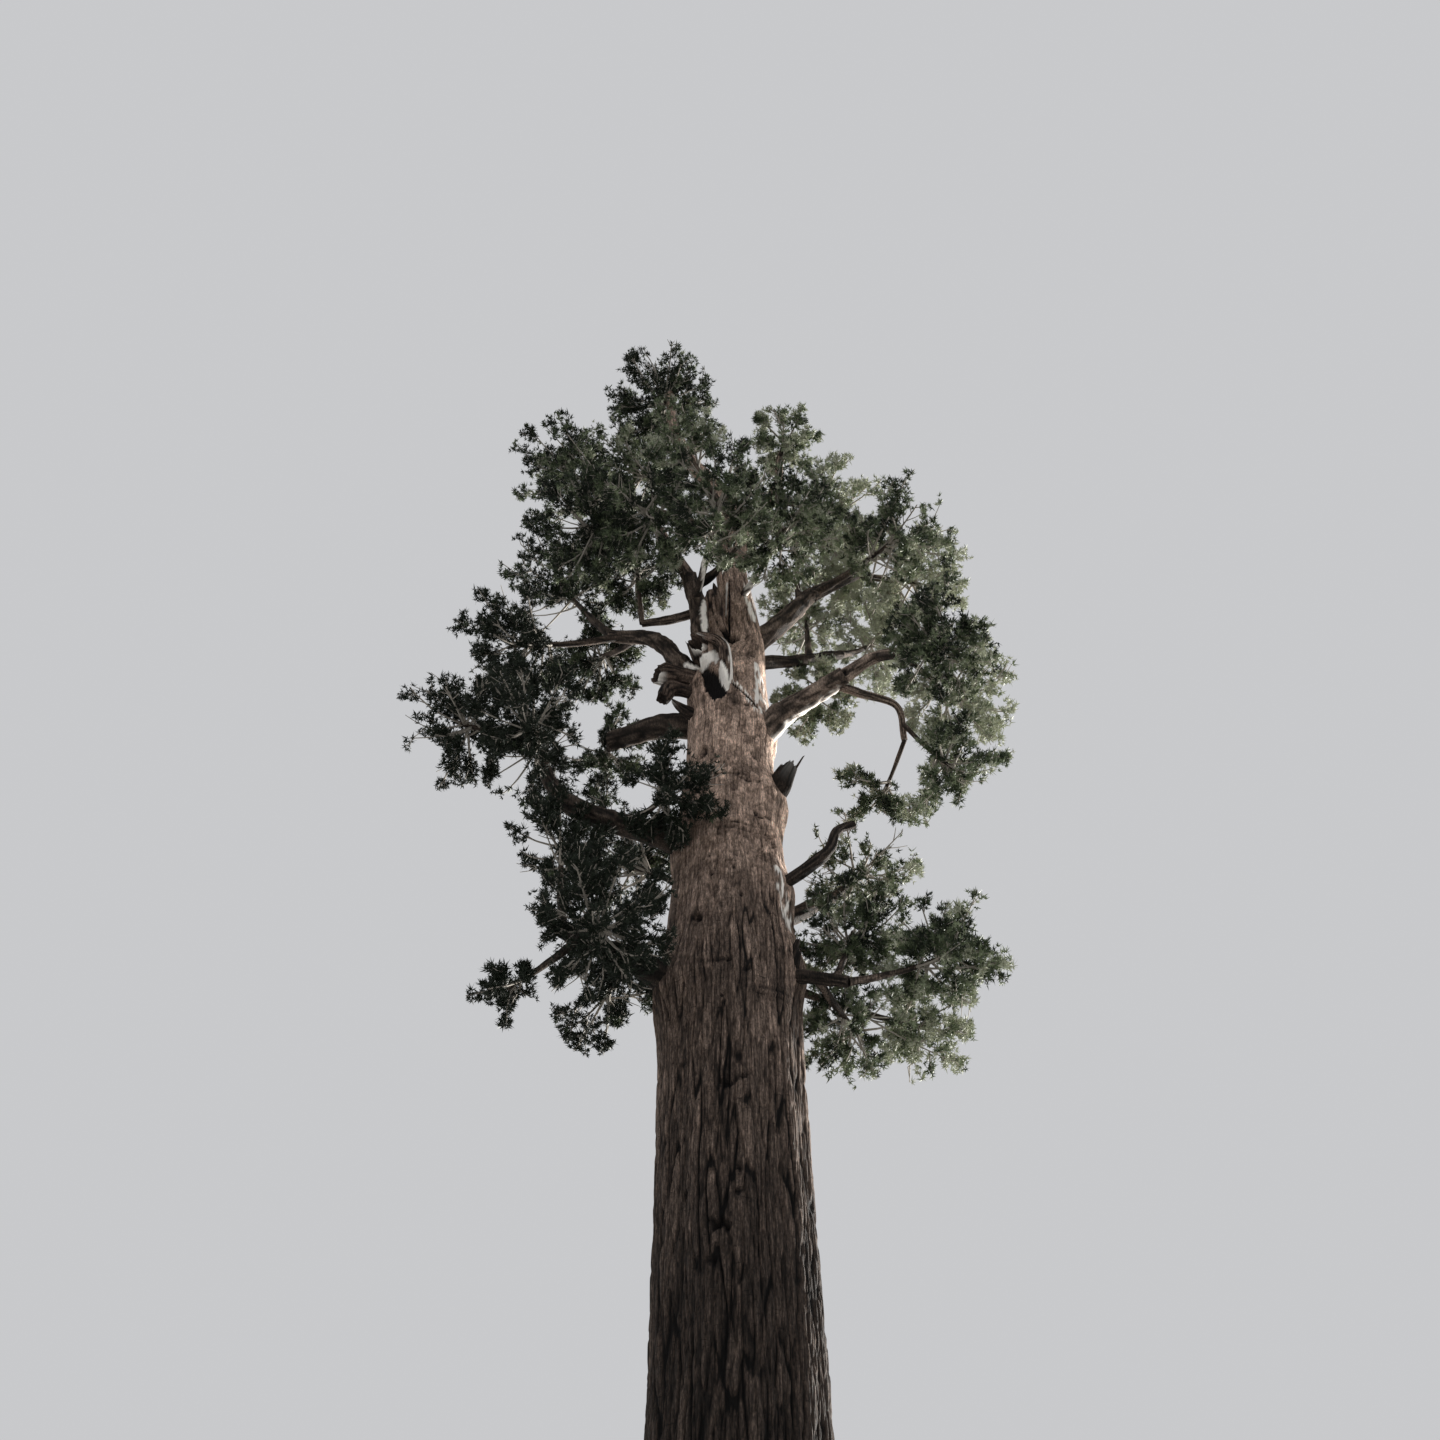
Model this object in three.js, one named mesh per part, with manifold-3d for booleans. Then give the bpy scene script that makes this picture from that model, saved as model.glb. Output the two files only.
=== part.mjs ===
// Giant sequoia: an old tree with a bare fluted trunk and a broken, open crown.
// +X is to the right in the front view, +Y is away from it and +Z is up.
import * as THREE from "three";
import { mergeVertices } from "three/addons/utils/BufferGeometryUtils.js";
import Module from "manifold-3d";

const wasm = await Module();
wasm.setup();

// Scale: sizes below are metres of the real tree, built at 40 m for its 74 m
const REAL_HEIGHT = 74;
const MODEL_HEIGHT_MM = 40000;
const MM_PER_METRE = MODEL_HEIGHT_MM / REAL_HEIGHT;
const SEAT_GAP_MM = 0.3;

// Clearances between foliage and everything beside it, in metres
const SPACE_MARGIN = 0.05;
const LIMB_CLEARANCE = 0.08;

// Facets round the trunk, its leader, a bough, a small limb and a twig
const TRUNK_SIDES = 30;
const LEADER_SIDES = 8;
const BOUGH_SIDES = 6;
const STEM_SIDES = 4;
const STUB_SIDES = 5;
const TWIG_SIDES = 3;

// Trunk course: height, mean radius, then how far its middle stands right and behind
const TRUNK_COURSE = [
  [0, 3.95, 0, 0],
  [1.0, 3.6, 0, 0],
  [3.0, 3.15, 0, 0],
  [7.5, 2.82, 0.04, 0],
  [15, 2.6, 0.1, 0],
  [25.8, 2.42, 0.15, 0],
  [34, 2.26, 0.05, 0],
  [39.4, 2.2, 0, 0],
  [44.6, 1.84, 0, 0],
  [47.2, 1.72, 0, 0],
  [49, 1.54, 0, 0],
  [52, 1.46, 0.02, 0],
  [53.4, 1.3, 0.1, 0],
  [54.5, 1.0, 0.38, 0],
  [55.6, 0.74, 0.6, 0],
  [57.6, 0.66, 0.4, 0],
  [60.1, 0.6, 0.12, 0.05],
  [63.2, 0.5, 0.3, 0.2],
  [65.4, 0.42, -0.45, 0.2],
  [67.0, 0.35, -1.6, 0],
  [69.0, 0.26, -2.3, -0.3],
  [71.2, 0.16, -2.5, -0.5],
];

// Root flare: how many buttresses, how far they swell the foot, how fast they fade, where
// the first one stands, and the slower wave that makes them uneven
const BUTTRESSES = 6;
const BUTTRESS_SWELL = 0.15;
const BUTTRESS_FADE_HEIGHT = 1.9;
const BUTTRESS_TURN = 0.6;
const UNEVEN_SHARE = 0.45;
const UNEVEN_TURN = 2;

// Shallow flutes all the way up, which wind slowly round the trunk
const TRUNK_FLUTES = 5;
const FLUTE_DEPTH = 0.018;
const FLUTE_WIND_HEIGHT = 14;

// Main ribs of the bark, which fade out towards the leader
const TRUNK_RIBS = 10;
const RIB_DEPTH = 0.024;
const RIB_WIND_HEIGHT = 22;
const RIB_FADE_FROM = 42;
const RIB_FADE_OVER = 10;

// The leader is the trunk's top part, from this ring of the course up
const LEADER_RING = 13;

// Limbs lose most of their radius near the root
const LIMB_TAPER = 0.8;

// Burls and collars: height, bearing in degrees from +X towards +Y, bulge and spread
const TRUNK_SWELLINGS = [
  [47.0, -10, 0.34, 1.1],
  [43.0, -15, 0.22, 0.9],
  [39.7, -5, 0.26, 1.0],
  [38.9, 200, 0.3, 1.2],
  [45.2, 195, 0.24, 1.0],
  [50.4, -20, 0.3, 1.0],
  [53.0, 205, 0.26, 0.9],
];
const SWELLING_NARROWNESS = 4;

// Dead stubs and snags that belong to the trunk: radii at root and end, then the course
const TRUNK_STUBS = [
  { radii: [0.44, 0.36], course: [[-0.6, -0.4, 53.1], [-1.9, -0.6, 53.4], [-2.75, -0.8, 53.6]] },
  { radii: [0.3, 0.24], course: [[-0.6, -0.4, 52.2], [-2.0, -0.6, 52.7], [-2.5, -0.7, 52.2]] },
  { radii: [0.3, 0.16], course: [[-0.6, -0.3, 51.4], [-1.6, -0.5, 51.8], [-2.15, -0.6, 52.1]] },
  { radii: [0.62, 0.42], course: [[-0.3, -0.5, 52.4], [-0.62, -0.9, 53.7], [-0.75, -1.05, 54.9]] },
  { radii: [0.2, 0.14], course: [[0.0, -0.9, 52.3], [0.1, -1.5, 53.4], [-0.9, -1.4, 54.6]] },
  { radii: [0.44, 0.34], course: [[0.0, -0.3, 53.6], [-0.4, -0.5, 55.8], [-0.65, -0.6, 58.0]] },
  { radii: [0.5, 0.36], course: [[-0.7, -0.6, 54.2], [-1.25, -1.5, 54.1]] },
  { radii: [0.52, 0.3], course: [[0.7, -0.3, 47.0], [1.5, -0.6, 47.3], [2.05, -1.0, 48.1]] },
  { radii: [0.34, 0.2], course: [[1.2, -0.6, 39.0], [1.85, -1.0, 39.3], [2.15, -1.1, 40.2]] },
];

// The hollow under the broken snag: radii at its mouth and end, then the course
const SNAG_HOLLOW = {
  radii: [0.34, 0.22],
  course: [[-0.36, -1.9, 51.7], [-0.42, -1.1, 52.1], [-0.6, -1.0, 53.1]],
};

// Living boughs: radii at root and tip, course in metres right, behind and up
const BOUGHS = [
  { name: "left_spar", radii: [0.4, 0.34],
    course: [[-0.4, -0.5, 53.4], [-1.0, -0.95, 55.0], [-1.2, -1.05, 56.6], [-1.5, -1.0, 58.4]],
    shoot: { radii: [0.17, 0.08], course: [[-1.4, -1.0, 58.0], [-0.45, -1.4, 58.4], [0.45, -2.0, 59.2]] } },
  { name: "spar_fork", radii: [0.3, 0.2],
    course: [[-1.46, -1.0, 58.3], [-2.2, -1.2, 59.7], [-2.9, -1.5, 61.0]] },
  { name: "top_right_limb", radii: [0.28, 0.15],
    course: [[0.3, 0.2, 62.4], [1.5, 0.4, 64.3], [2.1, 0.5, 66.2], [2.2, 0.5, 67.9]] },
  { name: "upper_left_bough", radii: [0.46, 0.26],
    course: [[-0.5, -0.3, 52.6], [-1.8, -0.4, 54.2], [-2.4, -0.3, 55.2], [-3.1, -0.1, 55.9],
      [-4.5, 0.6, 56.8]] },
  { name: "short_left_limb", radii: [0.2, 0.15],
    course: [[-1.2, -1.0, 56.4], [-2.2, -0.7, 56.3], [-3.3, -0.4, 56.4]] },
  { name: "middle_left_bough", radii: [0.6, 0.36],
    course: [[-0.4, 0.0, 51.3], [-2.4, 0.6, 51.85], [-4.4, 1.6, 52.1]] },
  { name: "lower_left_bough", radii: [0.5, 0.33],
    course: [[-0.9, -0.3, 45.0], [-3.0, -1.0, 45.3], [-4.4, -1.2, 45.7], [-5.8, -1.0, 46.7]] },
  { name: "lower_left_column", radii: [0.3, 0.2],
    course: [[-5.7, -1.0, 46.6], [-6.45, -1.0, 48.1], [-6.7, -1.0, 50.4]] },
  { name: "low_left_bough", radii: [0.56, 0.27],
    course: [[-1.2, -0.6, 38.6], [-2.9, -1.2, 39.5], [-4.1, -1.6, 39.8], [-5.4, -1.6, 40.5]] },
  { name: "upper_right_bough", radii: [0.46, 0.24],
    course: [[0.5, 0.1, 55.2], [2.1, 0.3, 57.3], [3.1, 0.5, 58.9], [3.6, 0.7, 59.5], [5.3, 1.9, 62.0]],
    shoot: { radii: [0.15, 0.08], course: [[2.8, 0.45, 58.4], [2.7, 0.2, 59.9], [2.9, -0.5, 60.8]] } },
  { name: "cross_right_bough", radii: [0.3, 0.2],
    course: [[0.5, 0.2, 54.8], [2.8, 1.8, 56.7], [4.5, 2.9, 58.2]] },
  { name: "great_right_bough", radii: [0.56, 0.34],
    course: [[0.3, -0.2, 49.1], [1.6, -0.9, 50.6], [2.5, -1.4, 51.0], [3.3, -1.8, 51.3],
      [4.15, -2.2, 51.6]] },
  { name: "great_right_arm", radii: [0.3, 0.18],
    course: [[4.05, -2.16, 51.57], [5.1, -2.2, 52.5], [6.2, -1.9, 53.2]] },
  { name: "drooping_right_arm", radii: [0.2, 0.11],
    course: [[3.7, -2.0, 51.45], [4.6, -1.8, 51.2], [6.0, -1.3, 51.0], [6.25, -0.8, 49.8]] },
  { name: "elbow_right_limb", radii: [0.27, 0.14],
    course: [[1.0, -0.5, 42.7], [2.7, -1.2, 43.6], [3.3, -1.4, 44.1], [3.6, -1.4, 44.9], [4.2, -1.2, 45.4]] },
  { name: "shadow_right_bough", radii: [0.34, 0.22],
    course: [[0.9, 0.5, 42.0], [2.9, 1.8, 44.3], [3.6, 2.2, 45.0]] },
  { name: "low_right_bough", radii: [0.32, 0.18],
    course: [[1.0, -0.3, 39.6], [2.3, -1.0, 39.1], [3.7, -1.4, 38.6]] },
];

// Foliage masses: centre right, behind and up, radius, then the limb that carries the
// stem, with the height of that place on the trunk or its share of a bough's length.
// Open ones are twigs and sprays only, and the others have a core.
const SPACE_SHAPE = new THREE.Vector3(1, 1.2, 0.86);
const MASSES = [
  { name: "top_peak", at: [-2.9, 0.5, 71.6], radius: 2.7, on: ["trunk", 71.2] },
  { name: "top_front", at: [-1.9, -2.5, 65.1], radius: 1.9, on: ["trunk", 63] },
  { name: "top_back", at: [0.3, 3.5, 68], radius: 2.2, on: ["trunk", 65], open: true },
  { name: "top_right_tuft", at: [2.4, 0.5, 69.1], radius: 1.7, on: ["top_right_limb", 1] },
  { name: "top_left", at: [-7.1, 0.5, 67.2], radius: 2.3, on: ["trunk", 62.4] },
  { name: "top_left_inner", at: [-4.6, 2.2, 69.5], radius: 2.4, on: ["trunk", 65.4] },
  { name: "top_left_front", at: [-5.5, -3, 59], radius: 2.4, on: ["spar_fork", 1] },
  { name: "top_middle_front", at: [-3.1, -4.5, 58.2], radius: 2.5, on: ["spar_fork", 0.6] },
  { name: "front_centre", at: [-0.4, -6, 56.8], radius: 2.4, on: ["left_spar", 0.75] },
  { name: "spar_left", at: [-3.6, -1, 59.6], radius: 2.3, on: ["short_left_limb", 1] },
  { name: "right_top", at: [4.3, 0, 63.5], radius: 2.4, on: ["top_right_limb", 0.5] },
  { name: "right_top_front", at: [2.1, -4, 57.8], radius: 2.4, on: ["trunk", 58] },
  { name: "right_shoulder", at: [6.6, -2.5, 59.2], radius: 2.4, on: ["upper_right_bough", 0.7] },
  { name: "right_shoulder_back", at: [5.5, 4, 64.9], radius: 2.5, on: ["upper_right_bough", 0.93] },
  { name: "right_outer_high", at: [7.6, 1, 60.4], radius: 2.4, on: ["upper_right_bough", 1] },
  { name: "right_outer_front", at: [7.4, -5, 50.4], radius: 2.3, on: ["great_right_arm", 0.6] },
  { name: "right_outer", at: [8.6, 0, 52.8], radius: 2.5, on: ["great_right_arm", 1] },
  { name: "right_outer_low", at: [7.7, -2, 47.2], radius: 2.1, on: ["drooping_right_arm", 0.85], open: true },
  { name: "right_middle_back", at: [3.3, 4.8, 62.9], radius: 2.3,
    on: ["cross_right_bough", 0.6], open: true },
  { name: "right_inner_back", at: [6.3, 5, 61.3], radius: 2.5, on: ["cross_right_bough", 1], open: true },
  { name: "right_drape", at: [3.4, 3, 55.7], radius: 1.8, on: ["cross_right_bough", 0.8], open: true },
  { name: "right_low_fringe", at: [5.4, 1, 48.5], radius: 2, on: ["drooping_right_arm", 1], open: true },
  { name: "left_high", at: [-6.9, 2.5, 62.1], radius: 2.7, on: ["upper_left_bough", 1] },
  { name: "left_shoulder", at: [-8.3, 0, 55.6], radius: 2.4, on: ["upper_left_bough", 0.93] },
  { name: "left_inner", at: [-5.6, 4, 59.1], radius: 2.4, on: ["upper_left_bough", 0.82] },
  { name: "left_far", at: [-9.6, -2, 49.5], radius: 2.4, on: ["lower_left_column", 0.85] },
  { name: "left_middle", at: [-6.8, -4, 47.9], radius: 2.2, on: ["lower_left_column", 0.55] },
  { name: "left_column", at: [-7, 0.5, 50.3], radius: 2.2, on: ["lower_left_column", 1] },
  { name: "left_inner_low", at: [-4.6, 3, 52.8], radius: 2, on: ["middle_left_bough", 1] },
  { name: "left_front_low", at: [-1.9, -3, 45.3], radius: 2, on: ["lower_left_bough", 0.45], open: true },
  { name: "left_low_back", at: [-4.2, 3.5, 48], radius: 2.6, on: ["trunk", 43.5] },
  { name: "left_tuft", at: [-5.7, -1, 44.9], radius: 2, on: ["low_left_bough", 1] },
  { name: "left_low_front", at: [-4, -4, 38.9], radius: 2.6, on: ["low_left_bough", 0.7] },
  { name: "left_drape", at: [-4.1, 1, 39.7], radius: 2, on: ["low_left_bough", 0.5] },
  { name: "left_low_far", at: [-6.9, -2, 37.9], radius: 1.3, on: ["low_left_bough", 0.85], open: true },
  { name: "right_low_inner", at: [4.9, 2.5, 46.8], radius: 2.4, on: ["shadow_right_bough", 1] },
  { name: "right_low", at: [4.1, 0.6, 42.2], radius: 2.2, on: ["low_right_bough", 0.84] },
  { name: "right_low_far", at: [7.1, -0.8, 40.2], radius: 2.2, on: ["low_right_bough", 1] },
  { name: "right_low_drape", at: [4.1, 1.6, 38.9], radius: 2.2, on: ["low_right_bough", 0.66], open: true },
  { name: "right_low_back", at: [6.7, 3.5, 40.4], radius: 2.1, on: ["trunk", 40.5], open: true },
  { name: "back_low", at: [0, 5.8, 43.5], radius: 2.3, on: ["trunk", 41] },
  { name: "back_middle", at: [0, 6.3, 50], radius: 2.1, on: ["trunk", 47] },
];

// Foliage rule, with lengths as shares of the mass's radius: a dense mass's sprays stand
// out of its core, an open mass's sprays fork from the tips of its twigs
const STEM_RADII = [0.15, 0.08];
const STEM_STEPS = 2;
const STEM_SAG = 0.08;
const STEM_THICKENING = 0.008;
const STEM_OF_CARRIER = 0.8;
const CORE_SHARE = 0.58;
const CORE_UNEVENNESS = [0.85, 1.15];
const CORE_LEAST_REACH = 0.1;
const CORE_DRAW_IN = 0.9;
const CORE_SPRAYS = 8;
const KNOT_RADIUS = 0.3;
const SUNK_ROOT = 0.82;
const OPEN_TWIGS = 4;
const TWIG_REACH = 0.5;
const TWIG_RADIUS = 0.07;
const TWIG_TESTS = 5;
const TWIG_SPRAY_PLACES = [0.96, 0.6];
const SPRAY_LENGTH = 0.9;
const SPRAY_WIDTH = 0.84;
const SPRAY_THICKNESS = 0.1;
const SPRAY_THICKEST_AT = 0.45;
const SPRAY_LEAN = [0.5, 1.0];
const SPRAY_LENGTH_SHARES = [1, 0.85, 0.7, 0.55];
const SPRAY_TRIALS = 6;
const GOLDEN_ANGLE = Math.PI * (3 - Math.sqrt(5));
const SEED = 1893;

// Half of a spray's toothed outline: along its length, then out from its middle
const WIDE_OUTLINE = [[1, 0], [0.78, 0.34], [0.58, 0.2], [0.32, 0.46], [0, 0]];
const FORKED_OUTLINE = [[1, 0], [0.6, 0.2], [0.52, 0.46], [0, 0]];

// One spray in this many round a core is a wide one, and the rest are forked
const WIDE_SPRAY_EVERY = 4;

const UP = new THREE.Vector3(0, 0, 1);

// Colours, from the tones of the photograph and the natural hues of the species
const BARK = new THREE.MeshStandardMaterial({ color: 0x6f5446, roughness: 0.95, metalness: 0 });
const LIMB_BARK = new THREE.MeshStandardMaterial({ color: 0x66564b, roughness: 0.93, metalness: 0 });
const FOLIAGE = new THREE.MeshStandardMaterial({ color: 0x2f3d27, roughness: 0.85, metalness: 0 });

// Seeded random numbers between 0 and 1
function randomSource(seed) {
  let state = seed >>> 0;
  return () => {
    state = (state + 0x6d2b79f5) >>> 0;
    let mixed = Math.imul(state ^ (state >>> 15), 1 | state);
    mixed = (mixed + Math.imul(mixed ^ (mixed >>> 7), 61 | mixed)) ^ mixed;
    return ((mixed ^ (mixed >>> 14)) >>> 0) / 4294967296;
  };
}

function vector([x, y, z]) {
  return new THREE.Vector3(x, y, z);
}

// Solids and geometry
function toSolid(geometry) {
  geometry.deleteAttribute("normal");
  geometry.deleteAttribute("uv");
  const merged = mergeVertices(geometry, 0.001);
  const corners = [];
  for (let i = 0; i < merged.index.count; i += 3) {
    const [a, b, c] = [0, 1, 2].map((step) => merged.index.getX(i + step));
    if (a !== b && b !== c && c !== a) corners.push(a, b, c);
  }
  const vertProperties = new Float32Array(merged.attributes.position.array);
  const triVerts = new Uint32Array(corners);
  return new wasm.Manifold(new wasm.Mesh({ numProp: 3, vertProperties, triVerts }));
}

function toGeometry(solid) {
  const mesh = solid.getMesh();
  const geometry = new THREE.BufferGeometry();
  geometry.setAttribute("position", new THREE.BufferAttribute(mesh.vertProperties, 3));
  geometry.setIndex(new THREE.BufferAttribute(mesh.triVerts, 1));
  geometry.computeVertexNormals();
  return geometry;
}

// One closed body: the largest, without the loose scraps that a cut leaves
function largestBody(solid) {
  return solid.decompose().reduce((best, piece) => (piece.volume() > best.volume() ? piece : best));
}

// A round body swept along points, from a cylinder bent to follow them, in millimetres.
// stretch(bearing, ring) varies the radius round each ring.
function sweep(points, radii, sides, grown = 0, stretch = () => 1) {
  const rings = points.length - 1;
  const geometry = new THREE.CylinderGeometry(1, 1, 1, sides, rings);
  const position = geometry.attributes.position;
  const along = points.map((point, i) => {
    const before = points[Math.max(i - 1, 0)];
    const after = points[Math.min(i + 1, rings)];
    return after.clone().sub(before).normalize();
  });
  const across = [];
  let side = new THREE.Vector3(1, 0, 0);
  for (const direction of along) {
    side = side.clone().addScaledVector(direction, -side.dot(direction));
    if (side.length() < 0.1) side = new THREE.Vector3(0, 1, 0);
    side.addScaledVector(direction, -side.dot(direction)).normalize();
    across.push(side);
  }
  const growth = grown / Math.cos(Math.PI / sides);
  for (let i = 0; i < position.count; i += 1) {
    const ring = Math.round((0.5 - position.getY(i)) * rings);
    const bearing = Math.atan2(position.getZ(i), position.getX(i));
    const onRim = Math.hypot(position.getX(i), position.getZ(i)) > 0.5;
    const reach = onRim ? radii[ring] * MM_PER_METRE * stretch(bearing, ring) + growth : 0;
    const lengthwise = ring === 0 ? -grown : ring === rings ? grown : 0;
    const other = along[ring].clone().cross(across[ring]);
    const place = points[ring].clone().multiplyScalar(MM_PER_METRE)
      .addScaledVector(across[ring], reach * Math.cos(bearing))
      .addScaledVector(other, reach * Math.sin(bearing))
      .addScaledVector(along[ring], lengthwise);
    position.setXYZ(i, place.x, place.y, place.z);
  }
  return toSolid(geometry);
}

// Points and radii at even steps along a limb's course
function limbRings(course, radii, stepsPerSpan) {
  const curve = new THREE.CatmullRomCurve3(course.map(vector), false, "centripetal");
  const steps = (course.length - 1) * stepsPerSpan;
  const points = [];
  const ringRadii = [];
  for (let i = 0; i <= steps; i += 1) {
    const t = i / steps;
    points.push(curve.getPoint(t));
    ringRadii.push(THREE.MathUtils.lerp(radii[0], radii[1], Math.pow(t, LIMB_TAPER)));
  }
  return { points, radii: ringRadii };
}

// Buttresses at the foot, shallow flutes all the way up, and the swellings
function trunkStretch({ points, radii }) {
  return (bearing, ring) => {
    const height = points[ring].z;
    const fade = Math.exp(-height / BUTTRESS_FADE_HEIGHT);
    const even = Math.cos(BUTTRESSES * bearing + BUTTRESS_TURN);
    const uneven = UNEVEN_SHARE * Math.cos((BUTTRESSES / 2) * bearing + UNEVEN_TURN);
    const flute = Math.cos(TRUNK_FLUTES * bearing + height / FLUTE_WIND_HEIGHT);
    const ribFade = 1 - THREE.MathUtils.smoothstep(height, RIB_FADE_FROM, RIB_FADE_FROM + RIB_FADE_OVER);
    const rib = RIB_DEPTH * ribFade * Math.cos(TRUNK_RIBS * bearing + height / RIB_WIND_HEIGHT);
    let stretch = 1 + BUTTRESS_SWELL * fade * (even + uneven) + FLUTE_DEPTH * flute + rib;
    for (const [level, degrees, bulge, spread] of TRUNK_SWELLINGS) {
      const facing = Math.max(Math.cos(bearing - THREE.MathUtils.degToRad(degrees)), 0);
      const away = (height - level) / spread;
      stretch += (bulge / radii[ring]) * facing ** SWELLING_NARROWNESS * Math.exp(-away * away);
    }
    return stretch;
  };
}

// Limbs: each has its rings, its solid and a grown copy that its neighbours are cut by
function makeTrunk() {
  const rings = {
    points: TRUNK_COURSE.map(([height, , right, behind]) => new THREE.Vector3(right, behind, height)),
    radii: TRUNK_COURSE.map(([, radius]) => radius),
  };
  const stretchOf = (first, last, sides, grown) => {
    const part = { points: rings.points.slice(first, last), radii: rings.radii.slice(first, last) };
    return sweep(part.points, part.radii, sides, grown, trunkStretch(part));
  };
  const build = (grown) => {
    const column = stretchOf(0, LEADER_RING + 1, TRUNK_SIDES, grown);
    const leader = stretchOf(LEADER_RING - 1, rings.points.length, LEADER_SIDES, grown);
    let solid = column.add(leader);
    for (const { radii, course } of TRUNK_STUBS) {
      const stub = limbRings(course, radii, 1);
      solid = solid.add(sweep(stub.points, stub.radii, STUB_SIDES, grown));
    }
    return solid;
  };
  const hollow = limbRings(SNAG_HOLLOW.course, SNAG_HOLLOW.radii, 1);
  const solid = build(0).subtract(sweep(hollow.points, hollow.radii, STUB_SIDES));
  return { name: "trunk", ...rings, solid, grown: build(SEAT_GAP_MM) };
}

// Cut a solid clear of others by their grown copies
function clearOf(solid, others) {
  return largestBody(others.reduce((rest, { grown }) => rest.subtract(grown), solid));
}

function makeBough({ name, radii, course, shoot }, limbs) {
  const rings = limbRings(course, radii, course.length > 3 ? 1 : 2);
  const build = (grown) => {
    let solid = sweep(rings.points, rings.radii, BOUGH_SIDES, grown);
    if (shoot) {
      const twig = limbRings(shoot.course, shoot.radii, 1);
      solid = solid.add(sweep(twig.points, twig.radii, STUB_SIDES, grown));
    }
    return solid;
  };
  return { name, ...rings, solid: clearOf(build(0), [...limbs.values()]), grown: build(SEAT_GAP_MM) };
}

// Links are short straight lengths with a radius, which foliage keeps away from
function linksOf(points, radii, owner) {
  return points.slice(1).map((end, i) => {
    const radius = Math.max(radii[i], radii[i + 1]);
    return { start: points[i], end, radius, owner };
  });
}

const nearest = new THREE.Vector3();
const span = new THREE.Line3();
function distanceToLink(point, link) {
  span.set(link.start, link.end).closestPointToPoint(point, true, nearest);
  return nearest.distanceTo(point) - link.radius;
}

// A mass's own space: inside its stretched ball and on its side of each plane between it
// and its neighbours, so the space is convex
function spaceScore(mass, point) {
  return point.clone().sub(mass.middle).divide(SPACE_SHAPE).lengthSq() - mass.radius ** 2;
}

function inSpace(mass, point, masses) {
  const score = spaceScore(mass, point);
  if (score > 0) return false;
  return masses.every((other) => {
    if (other === mass) return true;
    const between = other.middle.clone().sub(mass.middle).divide(SPACE_SHAPE);
    return score + 2 * SPACE_MARGIN * between.length() <= spaceScore(other, point);
  });
}

// A place on a limb, by height on the trunk or by share of a bough's length
function atHeight({ points }, height) {
  const above = points.findIndex((point) => point.z >= height);
  const ring = Math.max(above - 1, 0);
  const [low, high] = [points[ring], points[ring + 1]];
  return { ring, root: low.clone().lerp(high, (height - low.z) / (high.z - low.z)) };
}

function atShare({ points }, share) {
  const spans = points.length - 1;
  const ring = Math.min(Math.floor(share * spans), spans - 1);
  return { ring, root: points[ring].clone().lerp(points[ring + 1], share * spans - ring) };
}

// Stems run from the carrier to the middle of the mass
function stemOf(mass, limbs) {
  const [carrierName, place] = mass.on;
  const carrier = limbs.get(carrierName);
  const { ring, root } = carrierName === "trunk" ? atHeight(carrier, place) : atShare(carrier, place);
  const reach = root.distanceTo(mass.middle);
  const bend = root.clone().lerp(mass.middle, 0.5).addScaledVector(UP, -STEM_SAG * reach);
  const curve = new THREE.QuadraticBezierCurve3(root, bend, mass.middle);
  const widest = STEM_OF_CARRIER * carrier.radii[ring + 1];
  const thick = Math.min(STEM_RADII[0] + STEM_THICKENING * reach, widest);
  const points = curve.getPoints(STEM_STEPS);
  const radii = points.map((_, i) => THREE.MathUtils.lerp(thick, STEM_RADII[1], i / STEM_STEPS));
  return { points, radii, carrier, grown: sweep(points, radii, STEM_SIDES, SEAT_GAP_MM) };
}

function randomAcross(direction, random) {
  const any = new THREE.Vector3(random() - 0.5, random() - 0.5, random() - 0.5);
  return any.addScaledVector(direction, -any.dot(direction)).normalize();
}

// Sprays are toothed blades, from a flat ball whose rim is drawn to the outline
function sprayPoints(outline, root, direction, normal, length) {
  const across = direction.clone().cross(normal);
  const place = ([along, out], side) => root.clone()
    .addScaledVector(direction, along * length)
    .addScaledVector(across, side * out * SPRAY_WIDTH * length);
  const half = outline.length - 1;
  const rim = [];
  for (let k = 0; k < 2 * half; k += 1) {
    rim.push(k <= half ? place(outline[k], 1) : place(outline[2 * half - k], -1));
  }
  const middle = root.clone().addScaledVector(direction, SPRAY_THICKEST_AT * length);
  const depth = (SPRAY_THICKNESS * length) / 2;
  const faces = [depth, -depth].map((offset) => middle.clone().addScaledVector(normal, offset));
  return { rim, faces };
}

function spraySolid({ rim, faces }) {
  const geometry = new THREE.SphereGeometry(1, rim.length, 2);
  const position = geometry.attributes.position;
  for (let i = 0; i < position.count; i += 1) {
    const height = position.getY(i);
    const turn = Math.atan2(position.getZ(i), position.getX(i)) / (2 * Math.PI);
    const k = (Math.round(turn * rim.length) + rim.length) % rim.length;
    const place = Math.abs(height) > 0.5 ? faces[height > 0 ? 0 : 1] : rim[k];
    position.setXYZ(i, place.x * MM_PER_METRE, place.y * MM_PER_METRE, place.z * MM_PER_METRE);
  }
  return toSolid(geometry);
}

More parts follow.
